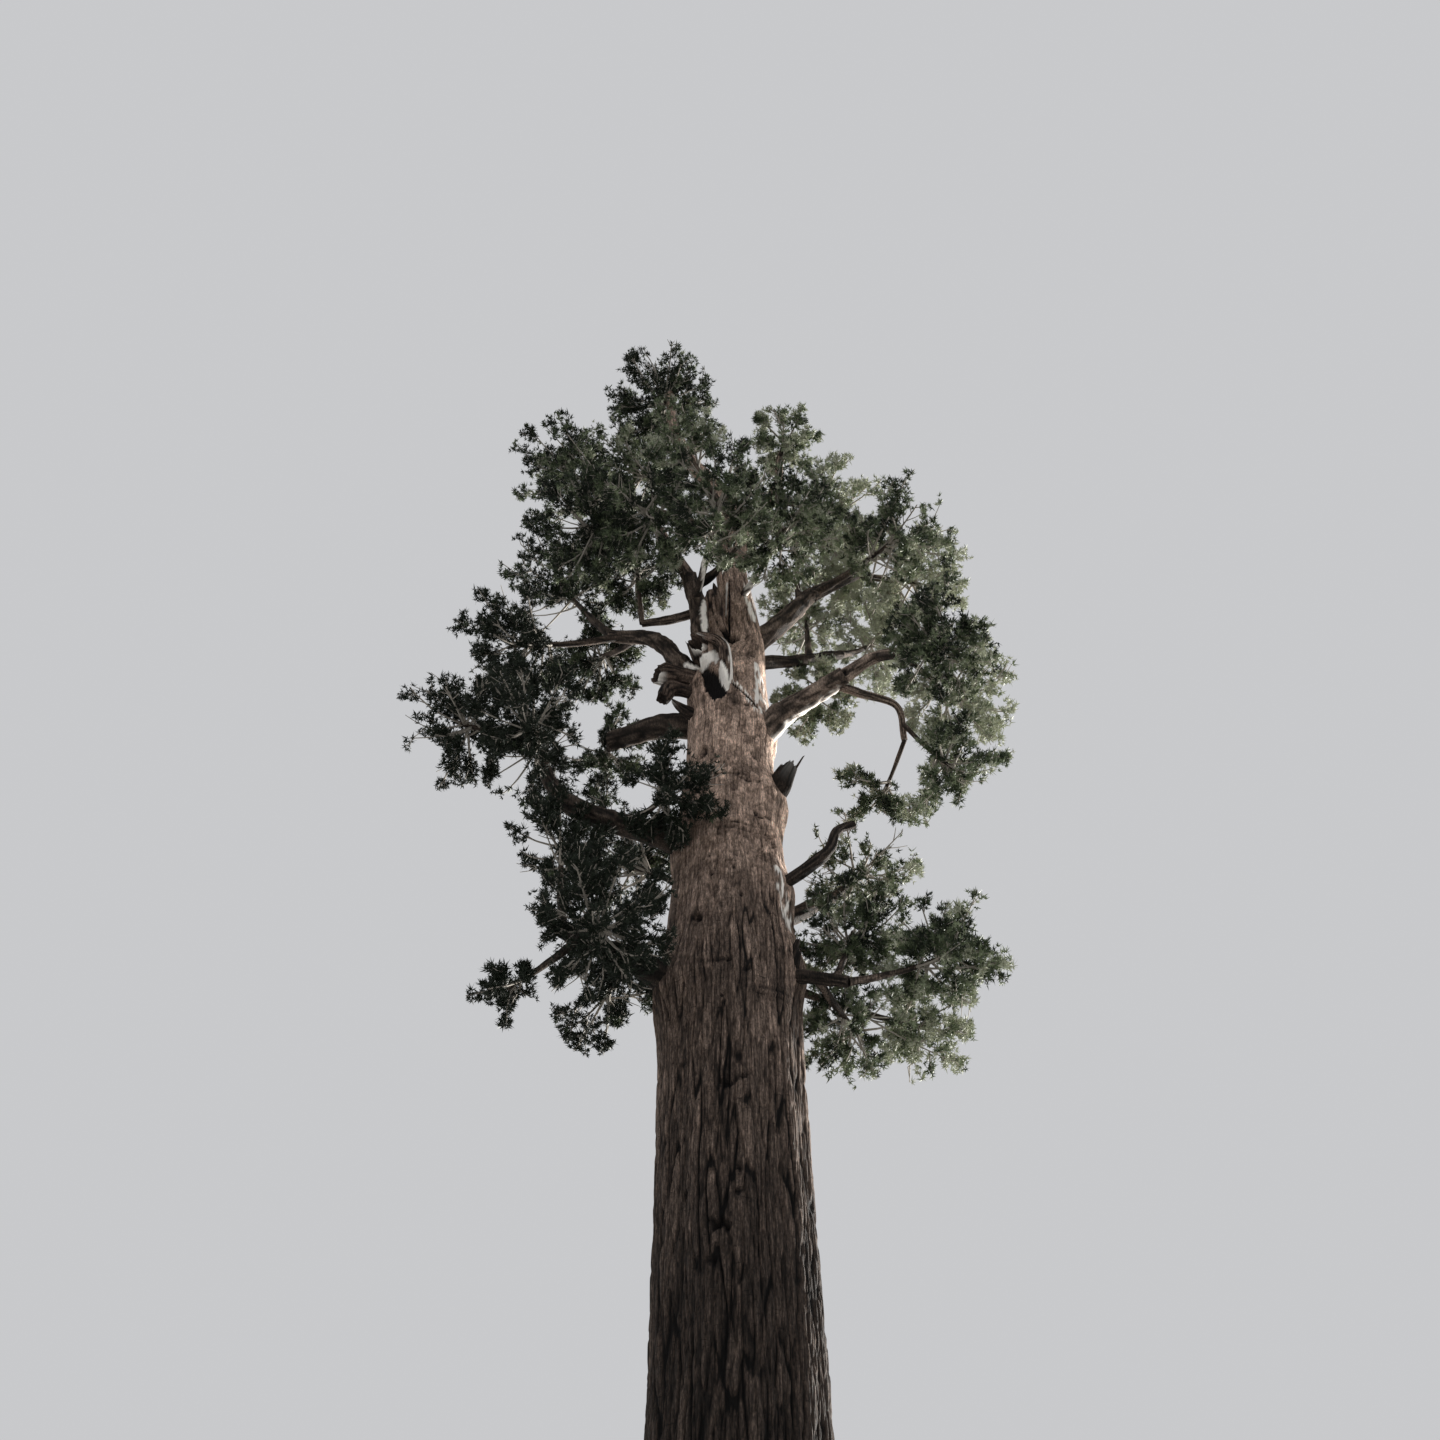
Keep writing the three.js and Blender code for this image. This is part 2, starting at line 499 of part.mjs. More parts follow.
// A rough ball round the middle of a mass, inside its own space, and its facets' centres
function coreOf(mass, coreRadius, random, allowed) {
  const geometry = new THREE.IcosahedronGeometry(1, 0);
  const position = geometry.attributes.position;
  const moved = new Map();
  const move = (corner) => {
    const key = corner.toArray().map((value) => value.toFixed(3)).join();
    if (!moved.has(key)) {
      const outward = corner.clone().multiply(SPACE_SHAPE);
      const at = (distance) => mass.middle.clone().addScaledVector(outward, distance);
      let reach = coreRadius * THREE.MathUtils.lerp(CORE_UNEVENNESS[0], CORE_UNEVENNESS[1], random());
      while (reach > CORE_LEAST_REACH && !allowed(at(reach))) reach *= CORE_DRAW_IN;
      moved.set(key, at(reach));
    }
    return moved.get(key);
  };
  const facets = [];
  for (let i = 0; i < position.count; i += 3) {
    const corners = [0, 1, 2].map((step) => {
      return move(new THREE.Vector3().fromBufferAttribute(position, i + step));
    });
    corners.forEach(({ x, y, z }, step) => {
      position.setXYZ(i + step, x * MM_PER_METRE, y * MM_PER_METRE, z * MM_PER_METRE);
    });
    const centre = corners[0].clone().add(corners[1]).add(corners[2]).divideScalar(3);
    facets.push({ centre, outward: centre.clone().sub(mass.middle).normalize() });
  }
  return { solid: toSolid(geometry), facets };
}

// Take the facets that lie nearest to evenly spread directions
function spreadFacets(facets, count, turn) {
  const left = [...facets];
  const taken = [];
  for (let k = 0; k < count; k += 1) {
    const aim = spreadDirection(k, count).applyAxisAngle(UP, turn);
    left.sort((one, other) => other.outward.dot(aim) - one.outward.dot(aim));
    taken.push(left.shift());
  }
  return taken;
}

// Evenly spread directions, each turned from the last by the golden angle
function spreadDirection(index, count) {
  const height = 1 - (2 * (index + 0.5)) / count;
  const ringRadius = Math.sqrt(1 - height * height);
  const bearing = index * GOLDEN_ANGLE;
  return new THREE.Vector3(ringRadius * Math.cos(bearing), ringRadius * Math.sin(bearing), height);
}

// Grow one mass: its stem, its core or its twigs, and sprays spread evenly round it.
// A spray that would leave the space or touch a limb is tried shorter, then skipped.
function growMass(mass, number, masses, links, limbs) {
  const random = randomSource(SEED + number);
  const { points, radii, carrier } = mass.stem;
  const others = links.filter((link) => link.owner !== mass.name);
  const allowed = (point, size = 0) => {
    const clear = size + LIMB_CLEARANCE;
    return inSpace(mass, point, masses) && others.every((link) => distanceToLink(point, link) > clear);
  };
  const pieces = [largestBody(sweep(points, radii, STEM_SIDES).subtract(carrier.grown))];

  const addSpray = (outline, root, outward) => {
    for (const share of SPRAY_LENGTH_SHARES) {
      for (let trial = 0; trial < SPRAY_TRIALS; trial += 1) {
        const sideways = randomAcross(outward, random);
        const lean = THREE.MathUtils.lerp(SPRAY_LEAN[0], SPRAY_LEAN[1], random());
        const heading = outward.clone().multiplyScalar(Math.cos(lean));
        heading.addScaledVector(sideways, Math.sin(lean));
        const normal = randomAcross(heading, random);
        const spray = sprayPoints(outline, root, heading, normal, SPRAY_LENGTH * mass.radius * share);
        const middles = spray.rim.map((point) => point.clone().lerp(root, 0.5));
        if ([...spray.rim, ...spray.faces, ...middles].every((point) => allowed(point))) {
          pieces.push(spraySolid(spray));
          return;
        }
      }
    }
  };

  const coreRadius = mass.open ? KNOT_RADIUS : CORE_SHARE * mass.radius;
  const core = coreOf(mass, coreRadius, random, (point) => inSpace(mass, point, masses));
  pieces.push(core.solid);
  const count = mass.open ? OPEN_TWIGS : CORE_SPRAYS;
  const facets = spreadFacets(core.facets, count, 2 * Math.PI * random());
  for (const [k, { centre, outward }] of facets.entries()) {
    const root = mass.middle.clone().lerp(centre, SUNK_ROOT);
    if (!mass.open) {
      addSpray(k % WIDE_SPRAY_EVERY === 0 ? WIDE_OUTLINE : FORKED_OUTLINE, root, outward);
      continue;
    }
    const tip = mass.middle.clone().addScaledVector(outward, TWIG_REACH * mass.radius);
    const samples = new THREE.LineCurve3(root, tip).getPoints(TWIG_TESTS).slice(1);
    if (!samples.every((point) => allowed(point, TWIG_RADIUS))) continue;
    pieces.push(sweep([root, tip], [TWIG_RADIUS, TWIG_RADIUS], TWIG_SIDES));
    for (const place of TWIG_SPRAY_PLACES) addSpray(FORKED_OUTLINE, root.clone().lerp(tip, place), outward);
  }
  const otherStems = masses.filter((other) => other !== mass).map((other) => other.stem);
  return clearOf(wasm.Manifold.union(pieces), [...limbs.values(), ...otherStems]);
}

// The tree
const tree = new THREE.Group();

function addPart(name, solid, material) {
  const mesh = new THREE.Mesh(toGeometry(solid), material);
  mesh.name = name;
  tree.add(mesh);
}

const limbs = new Map([["trunk", makeTrunk()]]);
for (const bough of BOUGHS) limbs.set(bough.name, makeBough(bough, limbs));

for (const mass of MASSES) {
  mass.middle = vector(mass.at);
  mass.stem = stemOf(mass, limbs);
}
const links = [
  ...[...limbs.values()].flatMap((limb) => linksOf(limb.points, limb.radii, limb.name)),
  ...MASSES.flatMap((mass) => linksOf(mass.stem.points, mass.stem.radii, mass.name)),
];

for (const limb of limbs.values()) {
  addPart(limb.name, limb.solid, limb.name === "trunk" ? BARK : LIMB_BARK);
}
MASSES.forEach((mass, i) => {
  addPart(`foliage_${mass.name}`, growMass(mass, i, MASSES, links, limbs), FOLIAGE);
});

export default tree;
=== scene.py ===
"""Giant sequoia: an old tree with a bare fluted trunk and a broken, open crown.

Sizes are metres of the real tree, built at 40 m for its 74 m. +X is to the right in the
front view, +Y is away from it and +Z is up.
"""

import itertools
import math
from types import SimpleNamespace

import bpy
import numpy as np
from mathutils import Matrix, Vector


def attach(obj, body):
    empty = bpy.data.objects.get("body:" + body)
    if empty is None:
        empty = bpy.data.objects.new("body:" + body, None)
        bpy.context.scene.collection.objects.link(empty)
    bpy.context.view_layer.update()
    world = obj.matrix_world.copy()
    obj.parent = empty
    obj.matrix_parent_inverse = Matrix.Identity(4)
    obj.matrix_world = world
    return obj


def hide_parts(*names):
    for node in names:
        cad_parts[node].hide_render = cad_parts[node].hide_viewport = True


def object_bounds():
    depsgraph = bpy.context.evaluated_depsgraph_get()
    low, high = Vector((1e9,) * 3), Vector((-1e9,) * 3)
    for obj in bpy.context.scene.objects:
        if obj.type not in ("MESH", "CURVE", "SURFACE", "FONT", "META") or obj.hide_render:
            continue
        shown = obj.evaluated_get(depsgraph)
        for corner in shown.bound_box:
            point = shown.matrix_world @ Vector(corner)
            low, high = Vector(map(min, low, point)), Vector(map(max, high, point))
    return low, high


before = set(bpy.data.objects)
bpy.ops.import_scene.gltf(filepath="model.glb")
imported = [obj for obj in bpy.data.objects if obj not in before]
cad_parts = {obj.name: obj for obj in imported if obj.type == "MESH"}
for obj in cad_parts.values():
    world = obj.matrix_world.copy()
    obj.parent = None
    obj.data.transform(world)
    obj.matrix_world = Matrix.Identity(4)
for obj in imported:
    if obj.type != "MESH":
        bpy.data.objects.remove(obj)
cad_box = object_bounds()

SCALE = 40 / 74
SEED = 1893
GOLDEN_ANGLE = math.pi * (3 - math.sqrt(5))

# Trunk course: height, mean radius, then how far its middle stands right and behind
TRUNK_COURSE = [
    [0, 3.95, 0, 0], [1, 3.6, 0, 0], [3, 3.15, 0, 0], [7.5, 2.82, 0.04, 0],
    [15, 2.6, 0.1, 0], [25.8, 2.42, 0.15, 0], [34, 2.26, 0.05, 0], [39.4, 2.2, 0, 0],
    [44.6, 1.84, 0, 0], [47.2, 1.72, 0, 0], [49, 1.54, 0, 0], [52, 1.46, 0.02, 0],
    [53.4, 1.3, 0.1, 0], [54.5, 1, 0.38, 0], [55.6, 0.74, 0.6, 0], [57.6, 0.66, 0.4, 0],
    [60.1, 0.6, 0.12, 0.05], [63.2, 0.5, 0.3, 0.2], [65.4, 0.42, -0.45, 0.2], [67, 0.35, -1.6, 0],
    [69, 0.26, -2.3, -0.3], [71.2, 0.16, -2.5, -0.5],
]
BUTTRESSES = 6
BUTTRESS_SWELL = 0.15
BUTTRESS_FADE_HEIGHT = 1.9
BUTTRESS_TURN = 0.6
UNEVEN_SHARE = 0.45
UNEVEN_TURN = 2
TRUNK_FLUTES = 5
FLUTE_DEPTH = 0.018
FLUTE_WIND_HEIGHT = 14
TRUNK_RIBS = 10
RIB_DEPTH = 0.024
RIB_WIND_HEIGHT = 22
RIB_FADE = [42, 52]
LIMB_TAPER = 0.8

# Burls and collars: height, bearing in degrees from +X towards +Y, bulge and spread
TRUNK_SWELLINGS = [
    [47, -10, 0.34, 1.1], [43, -15, 0.22, 0.9], [39.7, -5, 0.26, 1],
    [38.9, 200, 0.3, 1.2], [45.2, 195, 0.24, 1], [50.4, -20, 0.3, 1],
    [53, 205, 0.26, 0.9],
]
SWELLING_NARROWNESS = 4

# Knots and small hollows: height, bearing, half width and half height, depth, and slant
KNOTS = [
    [48.75, -126, 0.16, 0.3, 0.3, 0], [44.6, -42, 0.2, 0.34, 0.4, -0.5], [40.8, -118, 0.15, 0.26, 0.3, 0],
    [29.6, -101, 0.2, 0.2, 0.24, 0.2], [29.7, -106, 0.16, 0.1, 0.16, -0.4], [29.5, -96, 0.12, 0.14, 0.16, 0],
    [38.6, -76, 0.16, 0.12, 0.14, 0.4], [38.9, -92, 0.09, 0.12, 0.14, 0], [34.3, -95, 0.26, 0.18, 0.22, -0.3],
    [34.5, -82, 0.22, 0.1, 0.14, 0.5], [31.4, -87, 0.1, 0.16, 0.18, 0], [30.6, -88, 0.14, 0.12, 0.16, 0],
    [32.7, -131, 0.07, 0.08, 0.14, 0], [30.8, -129, 0.09, 0.09, 0.14, 0], [28.5, -107, 0.14, 0.1, 0.12, 0],
    [42.6, -108, 0.07, 0.1, 0.12, 0], [43.5, -111, 0.06, 0.1, 0.12, 0], [42.9, -86, 0.06, 0.12, 0.12, 0],
    [41.6, -80, 0.08, 0.08, 0.1, 0], [37.5, -97, 0.06, 0.07, 0.1, 0], [17.5, -60, 0.26, 0.22, 0.24, 0.3],
    [12.2, -140, 0.22, 0.26, 0.22, 0], [36, 60, 0.22, 0.26, 0.24, 0.2], [27, 120, 0.26, 0.2, 0.26, 0],
    [19, 20, 0.2, 0.18, 0.22, -0.3],
]

# Seams across the bark where old limbs and scars were: height, bearing, half width, and how
# far the ends stand above the middle
SEAMS = [
    [47.35, -84, 0.95, -0.12], [47.1, -66, 0.6, 0.22], [44.95, -78, 0.9, 0.05],
    [44.75, -80, 0.75, 0.03], [45.5, -52, 0.4, 0.25], [38, -52, 0.85, 0.1],
    [37.7, -56, 0.8, 0.14], [38.9, -104, 0.5, 0], [36.7, -127, 0.22, -0.05],
    [35.4, -132, 0.26, -0.1], [51, -70, 0.5, 0.1], [21, -95, 0.5, 0.1],
    [33, 60, 0.7, 0.15], [42, 110, 0.8, 0.1],
]

# Dead stubs and snags of the trunk: how light and how splintered, radii at root and end, the
# course, and the direction of the pale side where there is one, which is partly painted sunlight
TRUNK_STUBS = [
    [0.55, 0.1, [0.4, 0.42], [[-0.6, -0.4, 53], [-1.8, -0.6, 53.25], [-2.65, -0.8, 53.15]]],
    [0.5, 0.1, [0.24, 0.32], [[-0.6, -0.4, 52.3], [-2.1, -0.65, 52.6], [-2.4, -0.75, 51.9]]],
    [0.3, 0.12, [0.34, 0.12], [[-0.6, -0.3, 51.2], [-1.5, -0.5, 51.5], [-2.05, -0.6, 51.95]]],
    [1.5, 0.3, [0.62, 0.42], [[-0.3, -0.5, 52.4], [-0.62, -0.9, 53.7], [-0.75, -1.05, 54.9]]],
    [0.9, 0.12, [0.26, 0.17],
        [[-0.12, -1.2, 51.8], [-0.1, -1.7, 53.2], [-0.35, -1.7, 54], [-1, -1.55, 54.5]], 1.6, 0, 0],
    [1.6, 0.3, [0.44, 0.34], [[0, -0.3, 53.6], [-0.4, -0.5, 55.8], [-0.65, -0.6, 58]]],
    [1, 0.3, [0.5, 0.36], [[-0.7, -0.6, 54.2], [-1.25, -1.5, 54.1]]],
    [0.12, 0.3, [0.52, 0.38], [[0.7, -0.3, 47], [1.5, -0.6, 47.3], [2, -1, 48]]],
    [0.3, 0.05, [0.08, 0.03], [[1.85, -0.9, 47.5], [2.2, -1.1, 47.9], [2.6, -1.2, 48.6]]],
    [0.15, 0.3, [0.34, 0.2], [[1.2, -0.6, 39], [1.85, -1, 39.3], [2.15, -1.1, 40.2]]],
]

# Scars on the upper trunk and its stems, on the side towards the view: what each is, how far
# it is cut in, and points along it, each right, up and half width. Hollows are coloured dark as
# painted shade, and wood and flakes pale, partly as painted sunlight
SCARS = [
    ["hollow", 0.2, [[-1.45, 54.2, 0.12], [-1.25, 54.05, 0.13]]],
    ["hollow", 0.35, [[-0.93, 53.3, 0.2], [-0.74, 52.8, 0.26], [-0.54, 52.2, 0.38], [-0.4, 51.75, 0.46]]],
    ["wood", 0, [[-0.33, 52.9, 0.06], [-0.14, 52.3, 0.16], [-0.07, 51.9, 0.08]]],
    ["wood", 0, [[-1.6, 53.72, 0.1], [-1.15, 53.62, 0.14], [-0.66, 53.5, 0.28]]],
    ["wood", 0, [[-0.94, 56.75, 0.08], [-0.95, 55.85, 0.13], [-0.89, 54.95, 0.1]]],
    ["hollow", 0.25, [[-1.05, 58, 0.14], [-0.4, 58.1, 0.17]]],
    ["hollow", 0.12, [[0.04, 58.7, 0.03], [0.02, 56.6, 0.05], [0.04, 55.6, 0.04]]],
    ["wood", 0, [[-0.06, 58.6, 0.035], [-0.1, 57, 0.03]]],
    ["hollow", 0.3, [[-0.2, 55.6, 0.16], [0.16, 55.1, 0.24]]],
    ["flakes", 0, [[1, 53.6, 0.1], [1.15, 52.4, 0.2], [1.2, 51.3, 0.3]]],
    ["flakes", 0, [[0.2, 52.2, 0.08], [0.7, 51.4, 0.16], [1.1, 50.8, 0.2]]],
    ["hollow", 0.1, [[0.1, 52.1, 0.05], [0.65, 51.5, 0.05], [1, 51, 0.04]]],
    ["hollow", 0.12, [[4.16, 51.68, 0.1], [4.16, 51.56, 0.1]]],
    ["flakes", 0, [[1.55, 43.3, 0.1], [1.75, 42.3, 0.2], [1.9, 41.2, 0.14]]],
    ["flakes", 0, [[0.75, 58.6, 0.16], [0.85, 57.4, 0.2], [0.95, 56.4, 0.1]]],
]
SCAR_FACE = -0.25
SCAR_RAGGED = 0.4
SCAR_SOLID = 0.75
SCAR_HEIGHTS = [40, 59.5]

# Living boughs: how light the bark is, partly as painted light and shade, radii at root and tip,
# course in metres right, behind and up, and the direction of the pale side where there is one, which is
# partly painted sunlight
BOUGHS = {
    "left_spar": [1.3, [0.4, 0.34],
        [[-0.4, -0.5, 53.4], [-1, -0.95, 55], [-1.2, -1.05, 56.6], [-1.5, -1, 58.4]]],
    "spar_fork": [2.6, [0.3, 0.2], [[-1.46, -1, 58.3], [-2.2, -1.2, 59.7], [-2.9, -1.5, 61]]],
    "top_right_limb": [2.2, [0.28, 0.15],
        [[0.3, 0.2, 62.4], [1.5, 0.4, 64.3], [2.1, 0.5, 66.2], [2.2, 0.5, 67.9]]],
    "upper_left_bough": [1.2, [0.46, 0.26],
        [[-0.5, -0.3, 52.6], [-1.8, -0.4, 54.2], [-2.4, -0.3, 55.2], [-3.1, -0.1, 55.9], [-4.5, 0.6, 56.8]]],
    "short_left_limb": [1, [0.2, 0.15], [[-1.2, -1, 56.4], [-2.2, -0.7, 56.3], [-3.3, -0.4, 56.4]]],
    "middle_left_bough": [0.7, [0.6, 0.36], [[-0.4, 0, 51.3], [-2.4, 0.6, 51.85], [-4.4, 1.6, 52.1]]],
    "lower_left_bough": [0.7, [0.5, 0.33],
        [[-0.9, -0.3, 45], [-3, -1, 45.3], [-4.4, -1.2, 45.7], [-5.8, -1, 46.7]]],
    "lower_left_column": [0.7, [0.3, 0.2], [[-5.7, -1, 46.6], [-6.45, -1, 48.1], [-6.7, -1, 50.4]]],
    "low_left_bough": [0.35, [0.56, 0.27],
        [[-1.2, -0.6, 38.6], [-2.9, -1.2, 39.5], [-4.1, -1.6, 39.8], [-5.4, -1.6, 40.5]]],
    "upper_right_bough": [1.2, [0.46, 0.24],
        [[0.5, 0.1, 55.2], [2.1, 0.3, 57.3], [3.1, 0.5, 58.9], [3.6, 0.7, 59.5], [5.3, 1.9, 62]]],
    "cross_right_bough": [0.55, [0.3, 0.2], [[0.5, 0.2, 54.8], [2.8, 1.8, 56.7], [4.5, 2.9, 58.2]]],
    "great_right_bough": [2.3, [0.56, 0.34],
        [[0.3, -0.2, 49.1], [1.6, -0.9, 50.6], [2.5, -1.4, 51], [3.3, -1.8, 51.3], [4.15, -2.2, 51.6]],
        0.6, 0.55, -0.6],
    "great_right_arm": [2.8, [0.3, 0.18], [[4.05, -2.16, 51.57], [5.1, -2.2, 52.5], [6.2, -1.9, 53.2]]],
    "drooping_right_arm": [2.6, [0.2, 0.11],
        [[3.7, -2, 51.45], [4.6, -1.8, 51.2], [6, -1.3, 51], [6.25, -0.8, 49.8]]],
    "elbow_right_limb": [0.55, [0.27, 0.14],
        [[1, -0.5, 42.7], [2.7, -1.2, 43.6], [3.3, -1.4, 44.1], [3.6, -1.4, 44.9], [4.2, -1.2, 45.4]]],
    "shadow_right_bough": [1, [0.34, 0.22], [[0.9, 0.5, 42], [2.9, 1.8, 44.3], [3.6, 2.2, 45]]],
    "low_right_bough": [0.5, [0.32, 0.18], [[1, -0.3, 39.6], [2.3, -1, 39.1], [3.7, -1.4, 38.6]]],
}

# Bare shoots that stand out of a bough: radii and course
SHOOTS = [
    [[0.17, 0.08], [[-1.4, -1, 58], [-0.45, -1.4, 58.4], [0.45, -2, 59.2]]],
    [[0.15, 0.08], [[2.8, 0.45, 58.4], [2.7, 0.2, 59.9], [2.9, -0.5, 60.8]]],
]

# Foliage masses: centre right, behind and up, radius, the limb that carries the stem with
# the height of that place on the trunk or its share of the bough, how full it is, and how
# much lighter than its place makes it, partly as painted light and shade
MASS_FIELDS = ["name", "middle", "radius", "carrier", "place", "fullness", "tone"]
SPACE_SHAPE = np.array([1, 1.2, 0.86])
SPACE_MARGIN = 0.05
LIMB_CLEARANCE = 0.08
MASSES = [
    ["top_peak", [-2.9, 0.5, 71.6], 2.7, "trunk", 71.2, 1, -0.8],
    ["top_front", [-1.9, -2.5, 65.1], 1.9, "trunk", 63, 0.85, 1.3],
    ["top_back", [0.3, 3.5, 68], 2.2, "trunk", 65, 0.9, 0.5],
    ["top_right_tuft", [2.4, 0.5, 69.1], 1.7, "top_right_limb", 1, 1, 0],
    ["top_left", [-7.1, 0.5, 67.2], 2.3, "trunk", 62.4, 1, 0.8],
    ["top_left_inner", [-4.6, 2.2, 69.5], 2.4, "trunk", 65.4, 0.9, 0.6],
    ["top_left_front", [-5.5, -3, 59], 2.4, "spar_fork", 1, 1, 1.1],
    ["top_middle_front", [-3.1, -4.5, 58.2], 2.5, "spar_fork", 0.6, 0.85, 1.5],
    ["front_centre", [-0.4, -6, 56.8], 2.4, "left_spar", 0.75, 0.9, 1.5],
    ["spar_left", [-3.6, -1, 59.6], 2.3, "short_left_limb", 1, 0.9, 0.4],
    ["right_top", [4.3, 0, 63.5], 2.4, "top_right_limb", 0.5, 1, 0.6],
    ["right_top_front", [2.1, -4, 57.8], 2.4, "trunk", 58, 1, 0.9],
    ["right_shoulder", [6.6, -2.5, 59.2], 2.4, "upper_right_bough", 0.7, 1, -0.1],
    ["right_shoulder_back", [5.5, 4, 64.9], 2.5, "upper_right_bough", 0.93, 1, 0],
    ["right_outer_high", [7.6, 1, 60.4], 2.4, "upper_right_bough", 1, 1, 0.5],
    ["right_outer_front", [7.4, -5, 50.4], 2.3, "great_right_arm", 0.6, 1, 0.3],
    ["right_outer", [8.6, 0, 52.8], 2.5, "great_right_arm", 1, 0.9, 0.9],
    ["right_outer_low", [7.7, -2, 47.2], 2.1, "drooping_right_arm", 0.85, 0.9, 0.3],
    ["right_middle_back", [3.3, 4.8, 62.9], 2.3, "cross_right_bough", 0.6, 0.75, 0.3],
    ["right_inner_back", [6.3, 5, 61.3], 2.5, "cross_right_bough", 1, 0.85, 0.3],
    ["right_drape", [3.4, 3, 55.7], 1.8, "cross_right_bough", 0.8, 1, 0],
    ["right_low_fringe", [5.4, 1, 48.5], 2, "drooping_right_arm", 1, 1, 0],
    ["left_high", [-6.9, 2.5, 62.1], 2.7, "upper_left_bough", 1, 0.85, -0.25],
    ["left_shoulder", [-8.3, 0, 55.6], 2.4, "upper_left_bough", 0.93, 1, 0.2],
    ["left_inner", [-5.6, 4, 59.1], 2.4, "upper_left_bough", 0.82, 0.85, 0],
    ["left_far", [-9.6, -2, 49.5], 2.4, "lower_left_column", 0.85, 0.9, 0.45],
    ["left_middle", [-6.8, -4, 47.9], 2.2, "lower_left_column", 0.55, 0.85, 0],
    ["left_column", [-7, 0.5, 50.3], 2.2, "lower_left_column", 1, 1, 0],
    ["left_inner_low", [-4.6, 3, 52.8], 2, "middle_left_bough", 1, 1, 0],
    ["left_front_low", [-1.9, -3, 45.3], 2, "lower_left_bough", 0.45, 1, -0.5],
    ["left_low_back", [-4.2, 3.5, 48], 2.6, "trunk", 43.5, 0.8, -0.5],
    ["left_tuft", [-5.7, -1, 44.9], 2, "low_left_bough", 1, 1, 0],
    ["left_low_front", [-4, -4, 38.9], 2.6, "low_left_bough", 0.7, 1, -0.55],
    ["left_drape", [-4.1, 1, 39.7], 2, "low_left_bough", 0.5, 0.9, -0.4],
    ["left_low_far", [-6.9, -2, 37.9], 1.3, "low_left_bough", 0.85, 1, 0],
    ["right_low_inner", [4.9, 2.5, 46.8], 2.4, "shadow_right_bough", 1, 0.6, 0],
    ["right_low", [4.1, 0.6, 42.2], 2.2, "low_right_bough", 0.84, 1, 0],
    ["right_low_far", [7.1, -0.8, 40.2], 2.2, "low_right_bough", 1, 1, 0.4],
    ["right_low_drape", [4.1, 1.6, 38.9], 2.2, "low_right_bough", 0.66, 0.8, 0.55],
    ["right_low_back", [6.7, 3.5, 40.4], 2.1, "trunk", 40.5, 0.8, 0.55],
    ["back_low", [0, 5.8, 43.5], 2.3, "trunk", 41, 1, 0],
    ["back_middle", [0, 6.3, 50], 2.1, "trunk", 47, 1, 0],
]

# Foliage rule, with lengths as shares of the reach to the edge of a mass's space
MAIN_SHOOTS = 23
SIDE_TWIGS = 11
TUFTS_ON_TWIG = 12
PRONGS = 9
PRONG_LENGTH = [0.14, 0.27]
PRONG_WIDTH = [0.04, 0.062]
PIECE_TRIANGLES = 190000
USUAL_RADIUS = 2.3
STEM_SAG = 0.08
SHOOT_SAG = 0.16
TWIG_SAG = 0.06
TWIG_LENGTH = 0.34
SHOOT_RADII = [0.055, 0.022]
TWIG_RADII = [0.024, 0.012]
TUFT_SCATTER = 0.09

# Greens of the foliage from the shaded inside to the lit tips, as painted shade and painted light, the
# lighter ones partly fresh growth
GREENS = [
    ["leaf_shade", (0.012, 0.018, 0.01)],
    ["leaf_deep", (0.03, 0.042, 0.022)],
    ["leaf_green", (0.075, 0.098, 0.052)],
    ["leaf_fresh", (0.2, 0.235, 0.145)],
    ["leaf_pale", (0.44, 0.46, 0.35)],
]

# Painted light and shade on the foliage: it is lighter to the right and the back, where the sun comes from,
# higher up, on the outside, partly as fresh growth, and in clumps, and it thins where the gap noise is low
PAINTED_LIGHT_BY_PLACE = [0.19, 0.22, 0.05]
PAINTED_LIGHT_MIDDLE = [-1, 0, 52]
PAINTED_LIGHT_LIMITS = [8.5, 2.5, 18]
OUTER_LIGHT = 0.8
CLUMP_LIGHT = 2.3
GREEN_STEPS = [0.2, 0.9, 1.6, 2.3]
GAP_LEVEL = -0.52
GAP_BY_FULLNESS = 0.6
GAP_IN_CLUMPS = 0.45
GAP_SIZES = [0.9, 0.34]
CLUMP_SIZES = [0.62, 0.26]

# Where the sky shows through the crown or cuts into its edge, seen from the photograph's eye:
# right and up on the plane through the trunk, and how wide
EYE = [-0.33, -50, 1.6]
OPENING_GRAINS = [0.4, 1.2]
OPENING_RAGGED = 0.5
OPENINGS = [
    [-6.6, 57, 0.66], [-7.3, 57.4, 0.39], [-5.9, 56.5, 0.35], [-5, 51.6, 0.51], [-5, 50.6, 0.33],
    [-7.6, 49, 0.57], [-6, 50.5, 0.29], [-3.1, 47.8, 0.6], [6.1, 49.3, 0.89], [-7.6, 41, 0.56],
    [-6.5, 38.4, 0.48], [-10.9, 50, 0.54], [-11.7, 51.3, 0.4], [-10.5, 54.7, 0.68], [-11.9, 54.1, 0.53],
    [-5, 39.5, 0.42], [-3.1, 37.5, 0.53], [-1.2, 66.8, 0.46], [-6.4, 62.8, 0.37], [5.8, 64.1, 0.45],
    [6, 60, 0.48], [7, 58.8, 0.31], [10.1, 57.9, 0.66], [9, 42, 0.66], [8.2, 38.2, 0.57],
    [8.7, 47.6, 0.67], [5.1, 36, 0.49], [3.3, 35.7, 0.37], [-6.5, 45.3, 0.38], [-6.7, 44, 0.41],
    [-6.8, 42.1, 0.4], [8.2, 65.1, 0.58], [8.9, 63.5, 0.37], [5.2, 46.1, 0.59], [4.1, 47.5, 0.42],
    [-5.7, 50, 0.32], [4.7, 38.2, 0.32],
]


